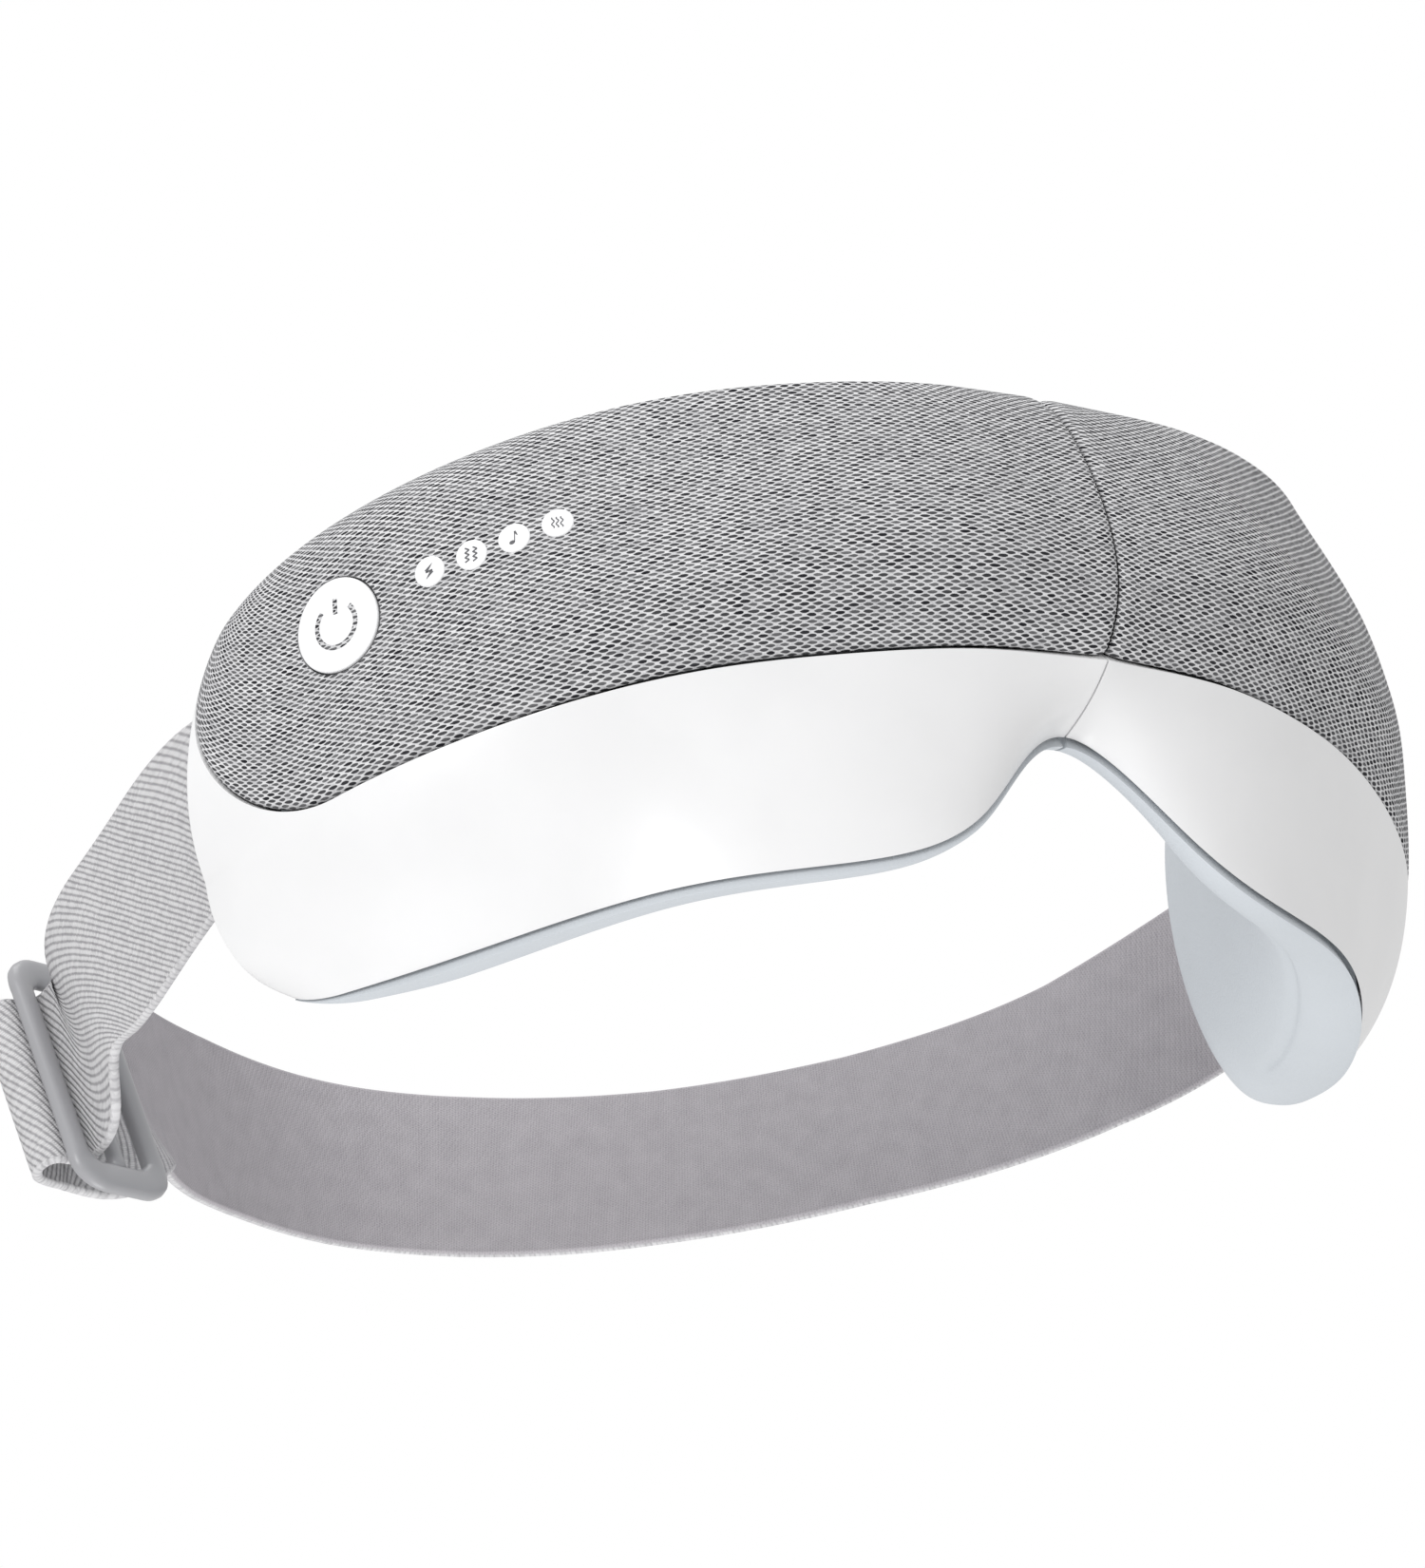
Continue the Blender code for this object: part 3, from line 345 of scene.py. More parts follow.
def add_mesh(name, points, faces, uv=None, values=None):
    """An object at the origin from points in millimetres, its faces outwards, shaded smooth."""
    mesh = bpy.data.meshes.new(name)
    faces = faces.tolist() if isinstance(faces, np.ndarray) else faces
    mesh.from_pydata((np.asarray(points, float).reshape(-1, 3) * MM).tolist(), [], faces)
    if uv is not None:
        corner = np.empty(len(mesh.loops), np.int32)
        mesh.loops.foreach_get("vertex_index", corner)
        layer = mesh.uv_layers.new(name="surface")
        layer.data.foreach_set("uv", np.asarray(uv, np.float32).reshape(-1, 2)[corner].ravel())
    for word, numbers in (values or {}).items():
        layer = mesh.attributes.new(word, "FLOAT", "POINT")
        layer.data.foreach_set("value", np.asarray(numbers, np.float32))
    build = bmesh.new()
    build.from_mesh(mesh)
    bmesh.ops.remove_doubles(build, verts=build.verts, dist=1e-7)
    bmesh.ops.recalc_face_normals(build, faces=build.faces)
    build.to_mesh(mesh)
    build.free()
    mesh.shade_smooth()
    made = bpy.data.objects.new(name, mesh)
    link(made)
    return made


print("a grid of 3 by 4 points has", len(grid_faces(3, 4)), "quads")

# %% Slabs, edges and finishes


def slab_parts(front, back):
    """Points and quads of the slab between two grids: two faces, and a strip round the edge."""
    rows, columns = front.shape[:2]
    count = rows * columns
    index = np.arange(count).reshape(rows, columns)
    quads = [grid_faces(rows, columns), grid_faces(rows, columns)[:, ::-1] + count]
    for line in (index[0], index[:, -1], index[-1, ::-1], index[::-1, 0]):
        quads.append(np.stack([line[:-1], line[1:], line[1:] + count, line[:-1] + count], -1))
    return np.concatenate([front.reshape(-1, 3), back.reshape(-1, 3)]), np.concatenate(quads)


def add_slab(name, front, back, side=RIGHT, uv=None):
    """A walled sheet, mirrored to the left half where side asks for it."""
    points, faces = slab_parts(front, back)
    if uv is None:
        uv = arc_lengths(front)
    return add_mesh(name, points * (side, 1, 1), faces, np.concatenate([uv.reshape(-1, 2)] * 2))


def soften(piece, width, segments=3, angle=40):
    """Rounds a piece's sharp edges by this width, in millimetres."""
    edge = piece.modifiers.new("edges", "BEVEL")
    edge.width = width * MM
    edge.segments = segments
    edge.limit_method = "ANGLE"
    edge.angle_limit = math.radians(angle)
    return piece


def dress(piece, paint):
    """Gives the piece its material."""
    piece.data.materials.clear()
    piece.data.materials.append(paint)
    return piece


def body_of(side):
    """The half's body. Left and right are as seen from the front."""
    return "right_half" if side == RIGHT else "left_half"


# %% [markdown]
# ## Materials as expressions
#
# A procedural material is arithmetic on places. Wiring every sum by hand hides the formula, so a
# small class wraps a socket and overloads the operators: `1 - hole * 0.5` adds its own Math nodes.

# %% A socket that does sums


class Number:
    """A value that changes over the surface, held as a node's output socket."""

    def __init__(self, paint, socket):
        self.paint = paint
        self.socket = socket

    def math(self, operation, *others):
        inputs = dict(enumerate((self, *others)))
        return self.paint.node("ShaderNodeMath", {"operation": operation}, inputs)

    def __rsub__(self, other):
        return (self * -1) + other

    def ridge(self):
        """1 in the middle of each whole step, down to 0 at its ends."""
        return 1 - abs(self.fraction() - 0.5) * 2

    def ease(self, low, high, start=0.0, end=1.0):
        """Smooth step from start, at low, to end, at high."""
        values = {"Value": self, "From Min": low, "From Max": high, "To Min": start, "To Max": end}
        smooth = {"interpolation_type": "SMOOTHSTEP"}
        return self.paint.node("ShaderNodeMapRange", smooth, values, "Result")


OPERATIONS = {
    "__add__": "ADD", "__radd__": "ADD", "__sub__": "SUBTRACT", "__mul__": "MULTIPLY",
    "__rmul__": "MULTIPLY", "__truediv__": "DIVIDE", "__mod__": "FLOORED_MODULO",
    "__abs__": "ABSOLUTE", "floor": "FLOOR", "fraction": "FRACT",
}
for word, operation in OPERATIONS.items():
    setattr(Number, word, lambda self, *others, kind=operation: self.math(kind, *others))


print("sums and shapes:", ", ".join(OPERATIONS))

# %% A material under construction


class Paint:
    """A material under construction: its nodes, and the Principled surface that they feed."""

    def __init__(self, name, **constants):
        """The constants go to the surface's own sockets, named with _ for a space."""
        self.material = bpy.data.materials.new(name)
        self.material.use_nodes = True
        self.tree = self.material.node_tree
        self.surface = self.tree.nodes["Principled BSDF"]
        for word, value in constants.items():
            self.surface.inputs[word.replace("_", " ")].default_value = value

    def node(self, kind, settings=None, inputs=None, output=0):
        """A node of this kind: its settings first, then its sockets' values or links."""
        made = self.tree.nodes.new(kind)
        for name, value in (settings or {}).items():
            setattr(made, name, value)
        for name, value in (inputs or {}).items():
            self.feed(made.inputs[name], value)
        return Number(self, made.outputs[output])

    def feed(self, socket, value):
        if isinstance(value, Number):
            self.tree.links.new(value.socket, socket)
        elif isinstance(value, (tuple, list)) and len(value) == 3 and socket.type == "RGBA":
            socket.default_value = (*value, 1)
        else:
            socket.default_value = value

    def drive(self, name, value):
        """Feeds one of the surface's sockets with a value that changes."""
        self.feed(self.surface.inputs[name], value)

    def mix(self, share, low, high):
        """A colour between two, by share."""
        inputs = {0: share, 6: low, 7: high}
        return self.node("ShaderNodeMix", {"data_type": "RGBA", "clamp_factor": True}, inputs, 2)

    def flat_place(self):
        """The piece's own surface coordinates, in millimetres, as two numbers."""
        uv = self.node("ShaderNodeUVMap", {"uv_map": "surface"})
        return tuple(self.node("ShaderNodeSeparateXYZ", None, {0: uv}, axis) for axis in (0, 1))

    def solid_place(self):
        return self.node("ShaderNodeTexCoord", None, None, "Object")

    def at(self, x, y, z=0.0):
        """A place from its parts."""
        return self.node("ShaderNodeCombineXYZ", None, {0: x, 1: y, 2: z})

    def noise(self, where, scale, detail=2.0, roughness=0.5):
        inputs = {"Vector": where, "Scale": scale, "Detail": detail, "Roughness": roughness}
        return self.node("ShaderNodeTexNoise", None, inputs, "Fac")

    def speck(self, where):
        """A random number for each whole-numbered place."""
        return self.node("ShaderNodeTexWhiteNoise", None, {"Vector": where}, "Value")

    def relief(self, height, distance, strength):
        """Tilts the surface as if it were raised by height times distance, in metres."""
        inputs = {"Height": height, "Distance": distance, "Strength": strength}
        self.drive("Normal", self.node("ShaderNodeBump", None, inputs))

    def colour(self, share, low, high):
        self.drive("Base Color", self.mix(share, low, high))


print("paint kit ready")

# %% [markdown]
# ## Knitted fabric
#
# The front is a heathered air-mesh knit: rows of pale loops with small openings between them, each
# row set half a stitch from the last. The openings are painted near black, as painted shade inside the
# mesh. Light and dark fibres are spun together, which streaks it.
# A stitch's fraction says where in the loop a point is, and its whole part picks the shade.

# %% Knit
STITCH_WIDTH, STITCH_HEIGHT = 1.85, 0.44


def knit_paint(name, light, dark, opening):
    """Offset rows of light thread, with drops lying on their side as openings filled with painted
    shade.
    """
    paint = Paint(name, Roughness=0.95, Specular_IOR_Level=0.12)
    x, y = paint.flat_place()
    sway = paint.noise(paint.at(x, y), 0.3, 2.0) - 0.5
    row = y / STITCH_HEIGHT + sway * 0.5
    whole_row = row.floor()
    wander = (paint.noise(paint.at(x, y, 4.0), 0.8, 2.0) - 0.5) * 0.4
    column = x / STITCH_WIDTH + (whole_row % 2) * 0.5 + wander
    own = paint.speck(paint.at(column.floor(), whole_row))
    along = column.fraction() - 0.36
    rise = abs(row.fraction() - 0.5)
    half_height = 0.47 - along * along * 3.4 - along * 0.30 + (own - 0.5) * 0.10
    # The openings get the near-black colour: painted shade inside the mesh, a little varied per
    # stitch.
    hole = (half_height - rise).ease(-0.07, 0.10) * (own * 0.25 + 0.75)
    fibre = paint.noise(paint.at(x * 0.8, y * 2.0), 2.6, 4.0, 0.7)
    streak = paint.noise(paint.at(x * 0.08, y * 0.5, 8.0), 1.0, 5.0, 0.7)
    heather = (fibre * 0.7 + streak * 0.45 + own * 0.14).ease(0.38, 0.78)
    yarn = paint.mix(heather, dark, light)
    paint.colour(hole, yarn, opening)
    paint.relief((1 - hole) * 0.8 + fibre * 0.3, 0.00025, 0.8)
    return paint.material


# The third colour is painted shade: the near black seen in the knit's openings.
KNIT = knit_paint("heathered_knit", (0.74, 0.74, 0.75), (0.38, 0.38, 0.395), (0.014, 0.014, 0.018))
print("knit: stitches", STITCH_WIDTH, "by", STITCH_HEIGHT, "mm")

# %% [markdown]
# ## Moulded, printed and soft finishes
#
# The lower shell is moulded ABS with a satin gloss, the cushions are polyurethane leatherette with a
# fine pebble, and the strap is an elastic twill with slanting ribs and bound edges. Steel, foil and
# circuit board are inside, where only a repair would show them.

# %% Shell, leatherette and plastics


def moulded_paint(name, colour, roughness, coat=0.0):
    """Moulded plastic: nearly even, with a faint ripple and slight changes of gloss."""
    paint = Paint(name, Coat_Weight=coat, Coat_Roughness=0.12)
    where = paint.solid_place()
    cloud = paint.noise(where, 60.0, 3.0)
    grain = paint.noise(where, 2600.0, 2.0)
    paint.colour(cloud.ease(0.3, 0.7), [c * 0.97 for c in colour], colour)
    paint.drive("Roughness", cloud * 0.08 + grain * 0.05 + (roughness - 0.065))
    paint.relief(cloud * 0.7 + grain * 0.3, 0.00002, 0.4)
    return paint.material


def leather_paint(name, colour):
    """Leatherette: pebbles from a cell pattern, softened, over a slow change of tone."""
    paint = Paint(name, Specular_IOR_Level=0.35)
    where = paint.solid_place()
    cells = {"Vector": where, "Scale": 1500.0}
    pebble = paint.node("ShaderNodeTexVoronoi", {"feature": "DISTANCE_TO_EDGE"}, cells)
    crease = paint.noise(where, 420.0, 4.0, 0.6)
    tone = paint.noise(where, 28.0, 3.0)
    paint.colour(tone.ease(0.25, 0.75), [c * 0.93 for c in colour], colour)
    paint.drive("Roughness", crease * 0.12 + pebble.ease(0.0, 0.3) * -0.06 + 0.52)
    paint.relief(pebble.ease(0.0, 0.22) * 0.6 + crease, 0.00005, 0.5)
    return paint.material


SHELL_WHITE = moulded_paint("satin_white_abs", (0.83, 0.83, 0.835), 0.32, coat=0.25)
CUSHION_SKIN = leather_paint("blue_grey_leatherette", (0.60, 0.635, 0.67))
BUCKLE_GREY = moulded_paint("grey_acetal", (0.34, 0.34, 0.355), 0.30, coat=0.1)
DISC_WHITE = moulded_paint("white_polycarbonate", (0.88, 0.88, 0.89), 0.34)
SYMBOL_GREY = moulded_paint("symbol_ink", (0.11, 0.11, 0.12), 0.55)
print("plain finishes ready")

# %% Elastic webbing
RIB_PITCH, FLOAT_PITCH = 0.8, 0.34
TICK_PITCH, WEAVE_PITCH = 0.8, 0.42
SELVAGE_WIDTH, SELVAGE_FADE = 0.6, 0.2
STRAP_WIDTH, STRAP_WALL = 27.5, 1.5


def webbing_paint(name, light, dark, inner_light, inner_dark):
    """Elastic twill: slanting ribs of short floats outside, with painted shade in their grooves, a
    plain weave inside, bound edges.
    """
    paint = Paint(name, Roughness=0.9, Specular_IOR_Level=0.2)
    x, y = paint.flat_place()
    sway = paint.noise(paint.at(x, y), 0.25, 2.0) * 0.35
    rib = (x * 0.88 - y * 0.48) / RIB_PITCH + sway
    number = rib.floor()
    floats = (x * 0.48 + y * 0.88) / FLOAT_PITCH + number * 0.37
    own = paint.speck(paint.at(number, floats.floor()))
    thread = rib.ridge().ease(0.0, 0.7) * floats.ridge().ease(0.0, 0.5, 0.6, 1.0)
    fibre = paint.noise(paint.at(x * 1.4, y * 2.2), 2.2, 4.0, 0.7)
    bound = STRAP_WIDTH / 2 - SELVAGE_WIDTH
    edge = abs(y - STRAP_WIDTH / 2).ease(bound, bound + SELVAGE_FADE)
    tick = (abs((x / TICK_PITCH).fraction() - 0.5) * 2).ease(0.1, 0.5, 0.45, 0.75)
    height = thread * (1 - edge) + tick * edge
    # Painted shade: the outside is darker where its threads lie low, in the grooves; the fibre tone is
    # real.
    groove_shade_and_fibre = (height * 0.6 + own * 0.25 + fibre * 0.45 - 0.15).ease(0.05, 0.9)
    warp, weft = x / WEAVE_PITCH, y / WEAVE_PITCH
    weave = abs(warp.fraction() - 0.5) + abs((weft + warp.floor() * 0.5).fraction() - 0.5)
    cloud = paint.noise(paint.at(x, y, 3.0), 0.3, 4.0)
    plain = (weave * 0.3 + fibre * 0.65 + cloud * 0.2 + edge * 0.1).ease(0.2, 0.9)
    inner = paint.node("ShaderNodeAttribute", {"attribute_name": "inner"}, None, "Fac")
    paint.colour(inner, paint.mix(groove_shade_and_fibre, dark, light), paint.mix(plain, inner_dark, inner_light))
    paint.relief((height + fibre * 0.25) * (1 - inner * 0.75), 0.00022, 0.8)
    return paint.material


WEBBING = webbing_paint(
    "elastic_twill",
    light=(0.70, 0.695, 0.705),
    # dark: painted shade in the grooves between the ribs, and the darker fibres.
    dark=(0.31, 0.305, 0.32),
    inner_light=(0.54, 0.515, 0.54),
    inner_dark=(0.27, 0.255, 0.275),
)
print("webbing: ribs", RIB_PITCH, "mm apart")

# %% [markdown]
# ## The fabric front
#
# Each half has one stretched piece of knit, which is the casing's own surface from the fabric line
# up. Its lower edge is tucked into a groove in the shell, so the surface dips there over its last
# 1.6 mm, and at the seam it rolls inwards in the same way.

# %% Fabric covers
FABRIC_WALL = 1.0
TUCK_DEPTH, TUCK_WIDTH = 0.9, 1.6
SEAM_TUCK = 1.5  # times as deep and wide at the seam


def stretched_u(count):
    """Stations from seam to temple, closer together where the fabric line turns up."""
    share = np.linspace(0, 1, count)
    return CENTRE_U + (1 - CENTRE_U) * (1 - (1 - share) ** 1.5)


def tuck(distance):
    """How far the cloth dips at this distance from an edge: a quarter circle."""
    return TUCK_DEPTH * quarter_circle(np.clip(1 - distance / TUCK_WIDTH, 0, 1))


def fabric_grid(rows=230, columns=150):
    """The cloth's outside and inside: the surface over the fabric line, dipped at its edges."""
    u = stretched_u(rows)[:, None]
    line = fabric_line(u)
    share = np.linspace(0, 1, columns)[None, :] ** 1.15
    v = line + (1 - line) * share
    u = u + 0 * v
    runs = arc_lengths(surface(u, v))
    depth = tuck(runs[..., 1]) + tuck(runs[..., 0] / SEAM_TUCK) * SEAM_TUCK
    depth[-1] = np.minimum(depth[-1], FABRIC_WALL)
    front = surface(u, v, depth)
    behind = surface(u, v, depth + FABRIC_WALL)
    front[0, :, 0] = behind[0, :, 0] = SEAM_GAP / 2
    return front, behind


def knit_place(front):
    """Where each point lies on the cloth: distance from the seam, and height."""
    x = arc_lengths(front)[..., 0].mean(1, keepdims=True) + 0 * front[..., 0]
    return np.stack([x, front[..., 2] * 0.45 + arc_lengths(front)[..., 1] * 0.55], -1)


for side, word in SIDES:
    front, behind = fabric_grid()
    cover = add_slab("knit_front_" + word, front, behind, side, knit_place(front))
    dress(cover, KNIT)
    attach(cover, body_of(side))
    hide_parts("fabric_cover_" + word)

# %% [markdown]
# ## The lower shell
#
# A hard white shell carries the fabric's lower edge and frames the nose. It is the same surface below
# the fabric line, its edges broken by a small bevel that catches the light as a moulded edge does.

# %% Lower shells
SHELL_WALL = 2.2
SHELL_EDGE = 0.35
SHELL_SEAM = 0.15  # from the middle to each shell
SHELL_BELOW = 0.004  # in v, from the fabric line down to the shell

for side, word in SIDES:
    u = stretched_u(170)[:, None]
    share = np.linspace(0, 1, 60)[None, :]
    v = (fabric_line(u) - SHELL_BELOW) * share
    front = surface(u + 0 * v, v)
    behind = surface(u + 0 * v, v, SHELL_WALL)
    front[0, :, 0] = behind[0, :, 0] = SHELL_SEAM
    shell = add_slab("white_shell_" + word, front, behind, side)
    soften(shell, SHELL_EDGE)
    dress(shell, SHELL_WHITE)
    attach(shell, body_of(side))
    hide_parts("lower_shell_" + word)
    print(shell.name, len(shell.data.polygons), "faces")

# %% [markdown]
# ## The cushions
#
# Behind each half is a foam pad in leatherette, with a hollow for the eye. Its section runs over the
# crowned face and back behind it. The crown follows a cosine, the hollow is a smooth dish taken out
# of it, and a welded channel runs round the dish and along the rim.

# %% Cushion shape
GAP = 0.3
FRAME_WALL = 2.0
CUSHION_DEPTH = (10.0, 13.0, 15.0, 17.5, 19.5, 16.5)
CUSHION_RIM, CUSHION_TOP_RIM = 1.3, 0.8  # how far the face stands past the casing's edges
CUSHION_LIP = -0.25
CUSHION_THIN_U, CUSHION_TURN_U, CUSHION_END_U = 0.93, 0.95, 0.99
RIM_FADE_U, RIM_FADE = 0.82, 0.8
FOLD_DRAFT = 0.8
HINGE_Y = 14.0
HINGE_CLEARANCE = 4.2
NOSE_PAD_TOP = -5.0
EYE_X, EYE_Z = 33.0, 2.0
EYE_HALF_WIDTH, EYE_HALF_HEIGHT, EYE_DEPTH = 22.0, 15.0, 6.5
CHANNEL_DEPTH, CHANNEL_WIDTH = 0.55, 1.1
DISH_CHANNEL = 1.12  # in dish radii
RIM_CHANNEL, RIM_CHANNEL_END_U = 3.2, 0.9


def channel(distance):
    """A pressed groove: deepest at distance 0, gone a width away."""
    return CHANNEL_DEPTH * np.exp(-((distance / (CHANNEL_WIDTH / 2)) ** 2))


def cushion_grid(rows=190, face_columns=150, back_columns=14):
    """Sections of the pad from bridge to temple: up round the face, then down behind."""
    end_u = CUSHION_TURN_U + (CUSHION_END_U - CUSHION_TURN_U) * np.linspace(0.08, 1, 13) ** 0.8
    u = np.concatenate([[0.0], np.linspace(0.004, CUSHION_TURN_U, rows - 14), end_u])[:, None]
    low, top = edge_heights(u)
    depth = spline(STATION_U, CUSHION_DEPTH, u)
    end = np.clip((u - CUSHION_THIN_U) / (CUSHION_END_U - CUSHION_THIN_U), 0, 1)
    depth = depth * (1 - 0.25 * end**2.2)
    fade = smooth_step((u - RIM_FADE_U) / (CUSHION_END_U - RIM_FADE_U))
    face_low = low - CUSHION_RIM * (1 - RIM_FADE * fade)
    face_top = top - CUSHION_TOP_RIM
    middle, half = (face_low + face_top) / 2, (face_top - face_low) / 2
    turn = np.linspace(-math.pi / 2, math.pi / 2, face_columns)[None, :]
    crown = np.clip(np.cos(turn), 0, 1) ** 0.8
    z = middle + half * np.sin(turn)
    x = plan(u)[0][..., 0]
    reach = np.hypot((x - EYE_X) / EYE_HALF_WIDTH, (z - EYE_Z) / EYE_HALF_HEIGHT)
    dish = EYE_DEPTH * np.clip(1 - reach**2, 0, 1) ** 1.5
    ring = channel((reach - DISH_CHANNEL) * (EYE_HALF_WIDTH + EYE_HALF_HEIGHT) / 2)
    rim = channel(half - np.abs(z - middle) - RIM_CHANNEL)
    rim = rim * smooth_step((RIM_CHANNEL_END_U - u) / 0.03) * (crown > 0.05)
    out = CUSHION_LIP - (depth + CUSHION_LIP) * crown + dish + ring + rim
    share = np.linspace(0, 1, back_columns + 2)[None, 1:-1]
    back_z = (face_top - 0.2) * (1 - share) + low * share
    inside = smooth_step(np.minimum(share, 1 - share) / 0.08)
    back_out = CUSHION_LIP + inside * (-GAP * 2 - FRAME_WALL - CUSHION_LIP)
    out = np.concatenate([np.minimum(out, CUSHION_LIP), back_out + 0 * u], 1)
    rings = place(u, out, np.concatenate([z, back_z], 1))
    barrel = smooth_step((rings[..., 2] - NOSE_PAD_TOP) / 3)
    lean = np.clip(rings[..., 1] - HINGE_Y, 0, None) * FOLD_DRAFT
    shift = SEAM_GAP / 2 + HINGE_CLEARANCE * barrel + lean
    rings[..., 0] += shift * np.clip(1 - u / 0.2, 0, 1)
    return rings


print("cushion rings:", cushion_grid().shape[:2])

# %% Cushion pieces


def closed_tube(name, rings, side=RIGHT, uv=None, values=None):
    """Rings of points joined end to end, a fan of triangles closing each end."""
    rows, columns = rings.shape[:2]
    points = np.concatenate([rings.reshape(-1, 3), rings[[0, -1]].mean(1)])
    faces = grid_faces(rows, columns, wrap_columns=True).tolist()
    first = np.arange(columns)
    last = first + (rows - 1) * columns
    for ring, hub in ((first, rows * columns), (last[::-1], rows * columns + 1)):
        faces += np.stack([ring, np.roll(ring, -1), 0 * ring + hub], -1).tolist()
    if uv is not None:
        uv = np.concatenate([uv.reshape(-1, 2), uv[[0, -1]].mean(1)])
    return add_mesh(name, points * (side, 1, 1), faces, uv, values)


for side, word in SIDES:
    cushion = closed_tube("eye_cushion_" + word, cushion_grid(), side)
    soften(cushion, 0.35, 3, 50)
    dress(cushion, CUSHION_SKIN)
    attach(cushion, body_of(side))
    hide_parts("cushion_" + word)
    print(cushion.name, len(cushion.data.polygons), "faces")

# %% [markdown]
# ## The head strap
#
# One elastic strap leaves the left temple, turns round the buckle's outer bar and runs behind the
# head to the right temple: a flat section carried along one smooth line. A mesh follows at most one
# joint, so the line is cut in two. The line is cut in two: a short run with the turn round the
# buckle, and a long run behind the head. The turn's end lies inside the long run.

# %% Strap line
BUCKLE_CENTRE = Vector((-89.5, 124.5, -28.5))
BUCKLE_ALONG = Vector((0.95, 0.31, 0.0)).normalized()
BUCKLE_UP = Vector((-0.105, 0.325, 0.94))
BUCKLE_UP = (BUCKLE_UP - BUCKLE_UP.dot(BUCKLE_ALONG) * BUCKLE_ALONG).normalized()
BUCKLE_FRONT = BUCKLE_ALONG.cross(BUCKLE_UP)
END_CAP_U, STRAP_OUT, STRAP_SLOT_Z = 0.985, 5.2, -2.5


def in_buckle(along, front, up=0.0):
    """A point from its place in the buckle's own directions."""
    return BUCKLE_CENTRE + BUCKLE_ALONG * along + BUCKLE_UP * up + BUCKLE_FRONT * front


def slot_point(side, run):
    """In the middle of the end cap's slot, this far along the strap."""
    u = np.array(END_CAP_U)
    slot = place(u, STRAP_OUT, STRAP_SLOT_Z)
    outwards = plan(u)[1]
    return Vector(((slot[0] - run * outwards[1]) * side, slot[1] + run * outwards[0], slot[2]))


# A point of the centre line, then how far the strap's upper edge leans there, in x and y for each
# unit up.
SHORT_RUN = (
    (slot_point(LEFT, -4), (0.0, 0.0)),
    (slot_point(LEFT, 1), (0.0, 0.0)),
    (Vector((-88.4, 83, -2)), (0.0, 0.0)),
    (Vector((-91.5, 94, -7)), (-0.02, 0.05)),
    (Vector((-94.0, 104, -14)), (-0.05, 0.16)),
    (Vector((-95.2, 112.5, -21)), (-0.09, 0.28)),
    (in_buckle(-5.2, 5.2), (-0.11, 0.34)),
)
TURN = tuple(
    (in_buckle(along, front), (-0.11, 0.346))
    for along, front in (
        (-3.8, 1.6), (-3.9, -0.8), (-5.6, -2.3), (-7.4, -2.5), (-8.9, -3.1), (-9.6, -4.5),
        (-9.3, -6.1), (-8.0, -7.2), (-6.0, -7.7), (-2.0, -7.8), (5.0, -7.6),
    )
)
LONG_RUN = (
    ((-78, 137, -24.5), (-0.13, 0.2)),
    ((-66, 149, -21), (-0.05, 0.15)),
    ((-47, 167, -19), (0.05, 0.15)),
    ((-24, 176, -20), (0.1, 0.16)),
    ((-2, 171, -22), (0.1, 0.2)),
    ((20, 153, -24), (0.12, 0.33)),
    ((43, 131, -22.5), (0.12, 0.38)),
    ((70, 108, -15), (0.05, 0.3)),
    ((86, 92, -5), (0.0, 0.0)),
    (slot_point(RIGHT, 6), (0.0, 0.0)),
    (slot_point(RIGHT, 1), (0.0, 0.0)),
    (slot_point(RIGHT, -4), (0.0, 0.0)),
)
knots = SHORT_RUN + TURN + LONG_RUN
line_points = np.array([knot[0] for knot in knots])
line_leans = np.array([knot[1] for knot in knots])
knot_at = np.insert(np.cumsum(np.linalg.norm(np.diff(line_points, axis=0), axis=1)), 0, 0)
strap_length = knot_at[-1]
turn_end = knot_at[len(SHORT_RUN) + len(TURN) - 1]
turn_overlap = knot_at[len(SHORT_RUN) + len(TURN) - 2]
print("strap", round(strap_length), "mm from slot to slot, buckle turn ends at", round(turn_end))

# %% Strap pieces
INNER_FADE = 16.0  # how far past the turn the inner face goes from ribs to plain weave
SLEEVE = 0.12  # how much larger the long run is, so that the turn's end lies inside it


def strap_section(width, wall, across=40, round_steps=6):
    """A flat section with round edges, as (across the strap, through it)."""
    half, bead = width / 2, wall / 2
    flat = np.linspace(-half + bead, half - bead, across)
    selvage = 1 - 0.25 * np.exp(-(((half - np.abs(flat)) / 0.9) ** 2))
    bend = np.linspace(math.pi / 2, -math.pi / 2, round_steps + 2)[1:-1]
    end_x = half - bead + bead * np.cos(bend)
    end_y = bead * np.sin(bend) * 1.1
    parts = [(flat, bead * selvage), (end_x, end_y), (flat[::-1], -bead * selvage), (-end_x, -end_y)]
    return np.concatenate([np.stack(part, -1) for part in parts])


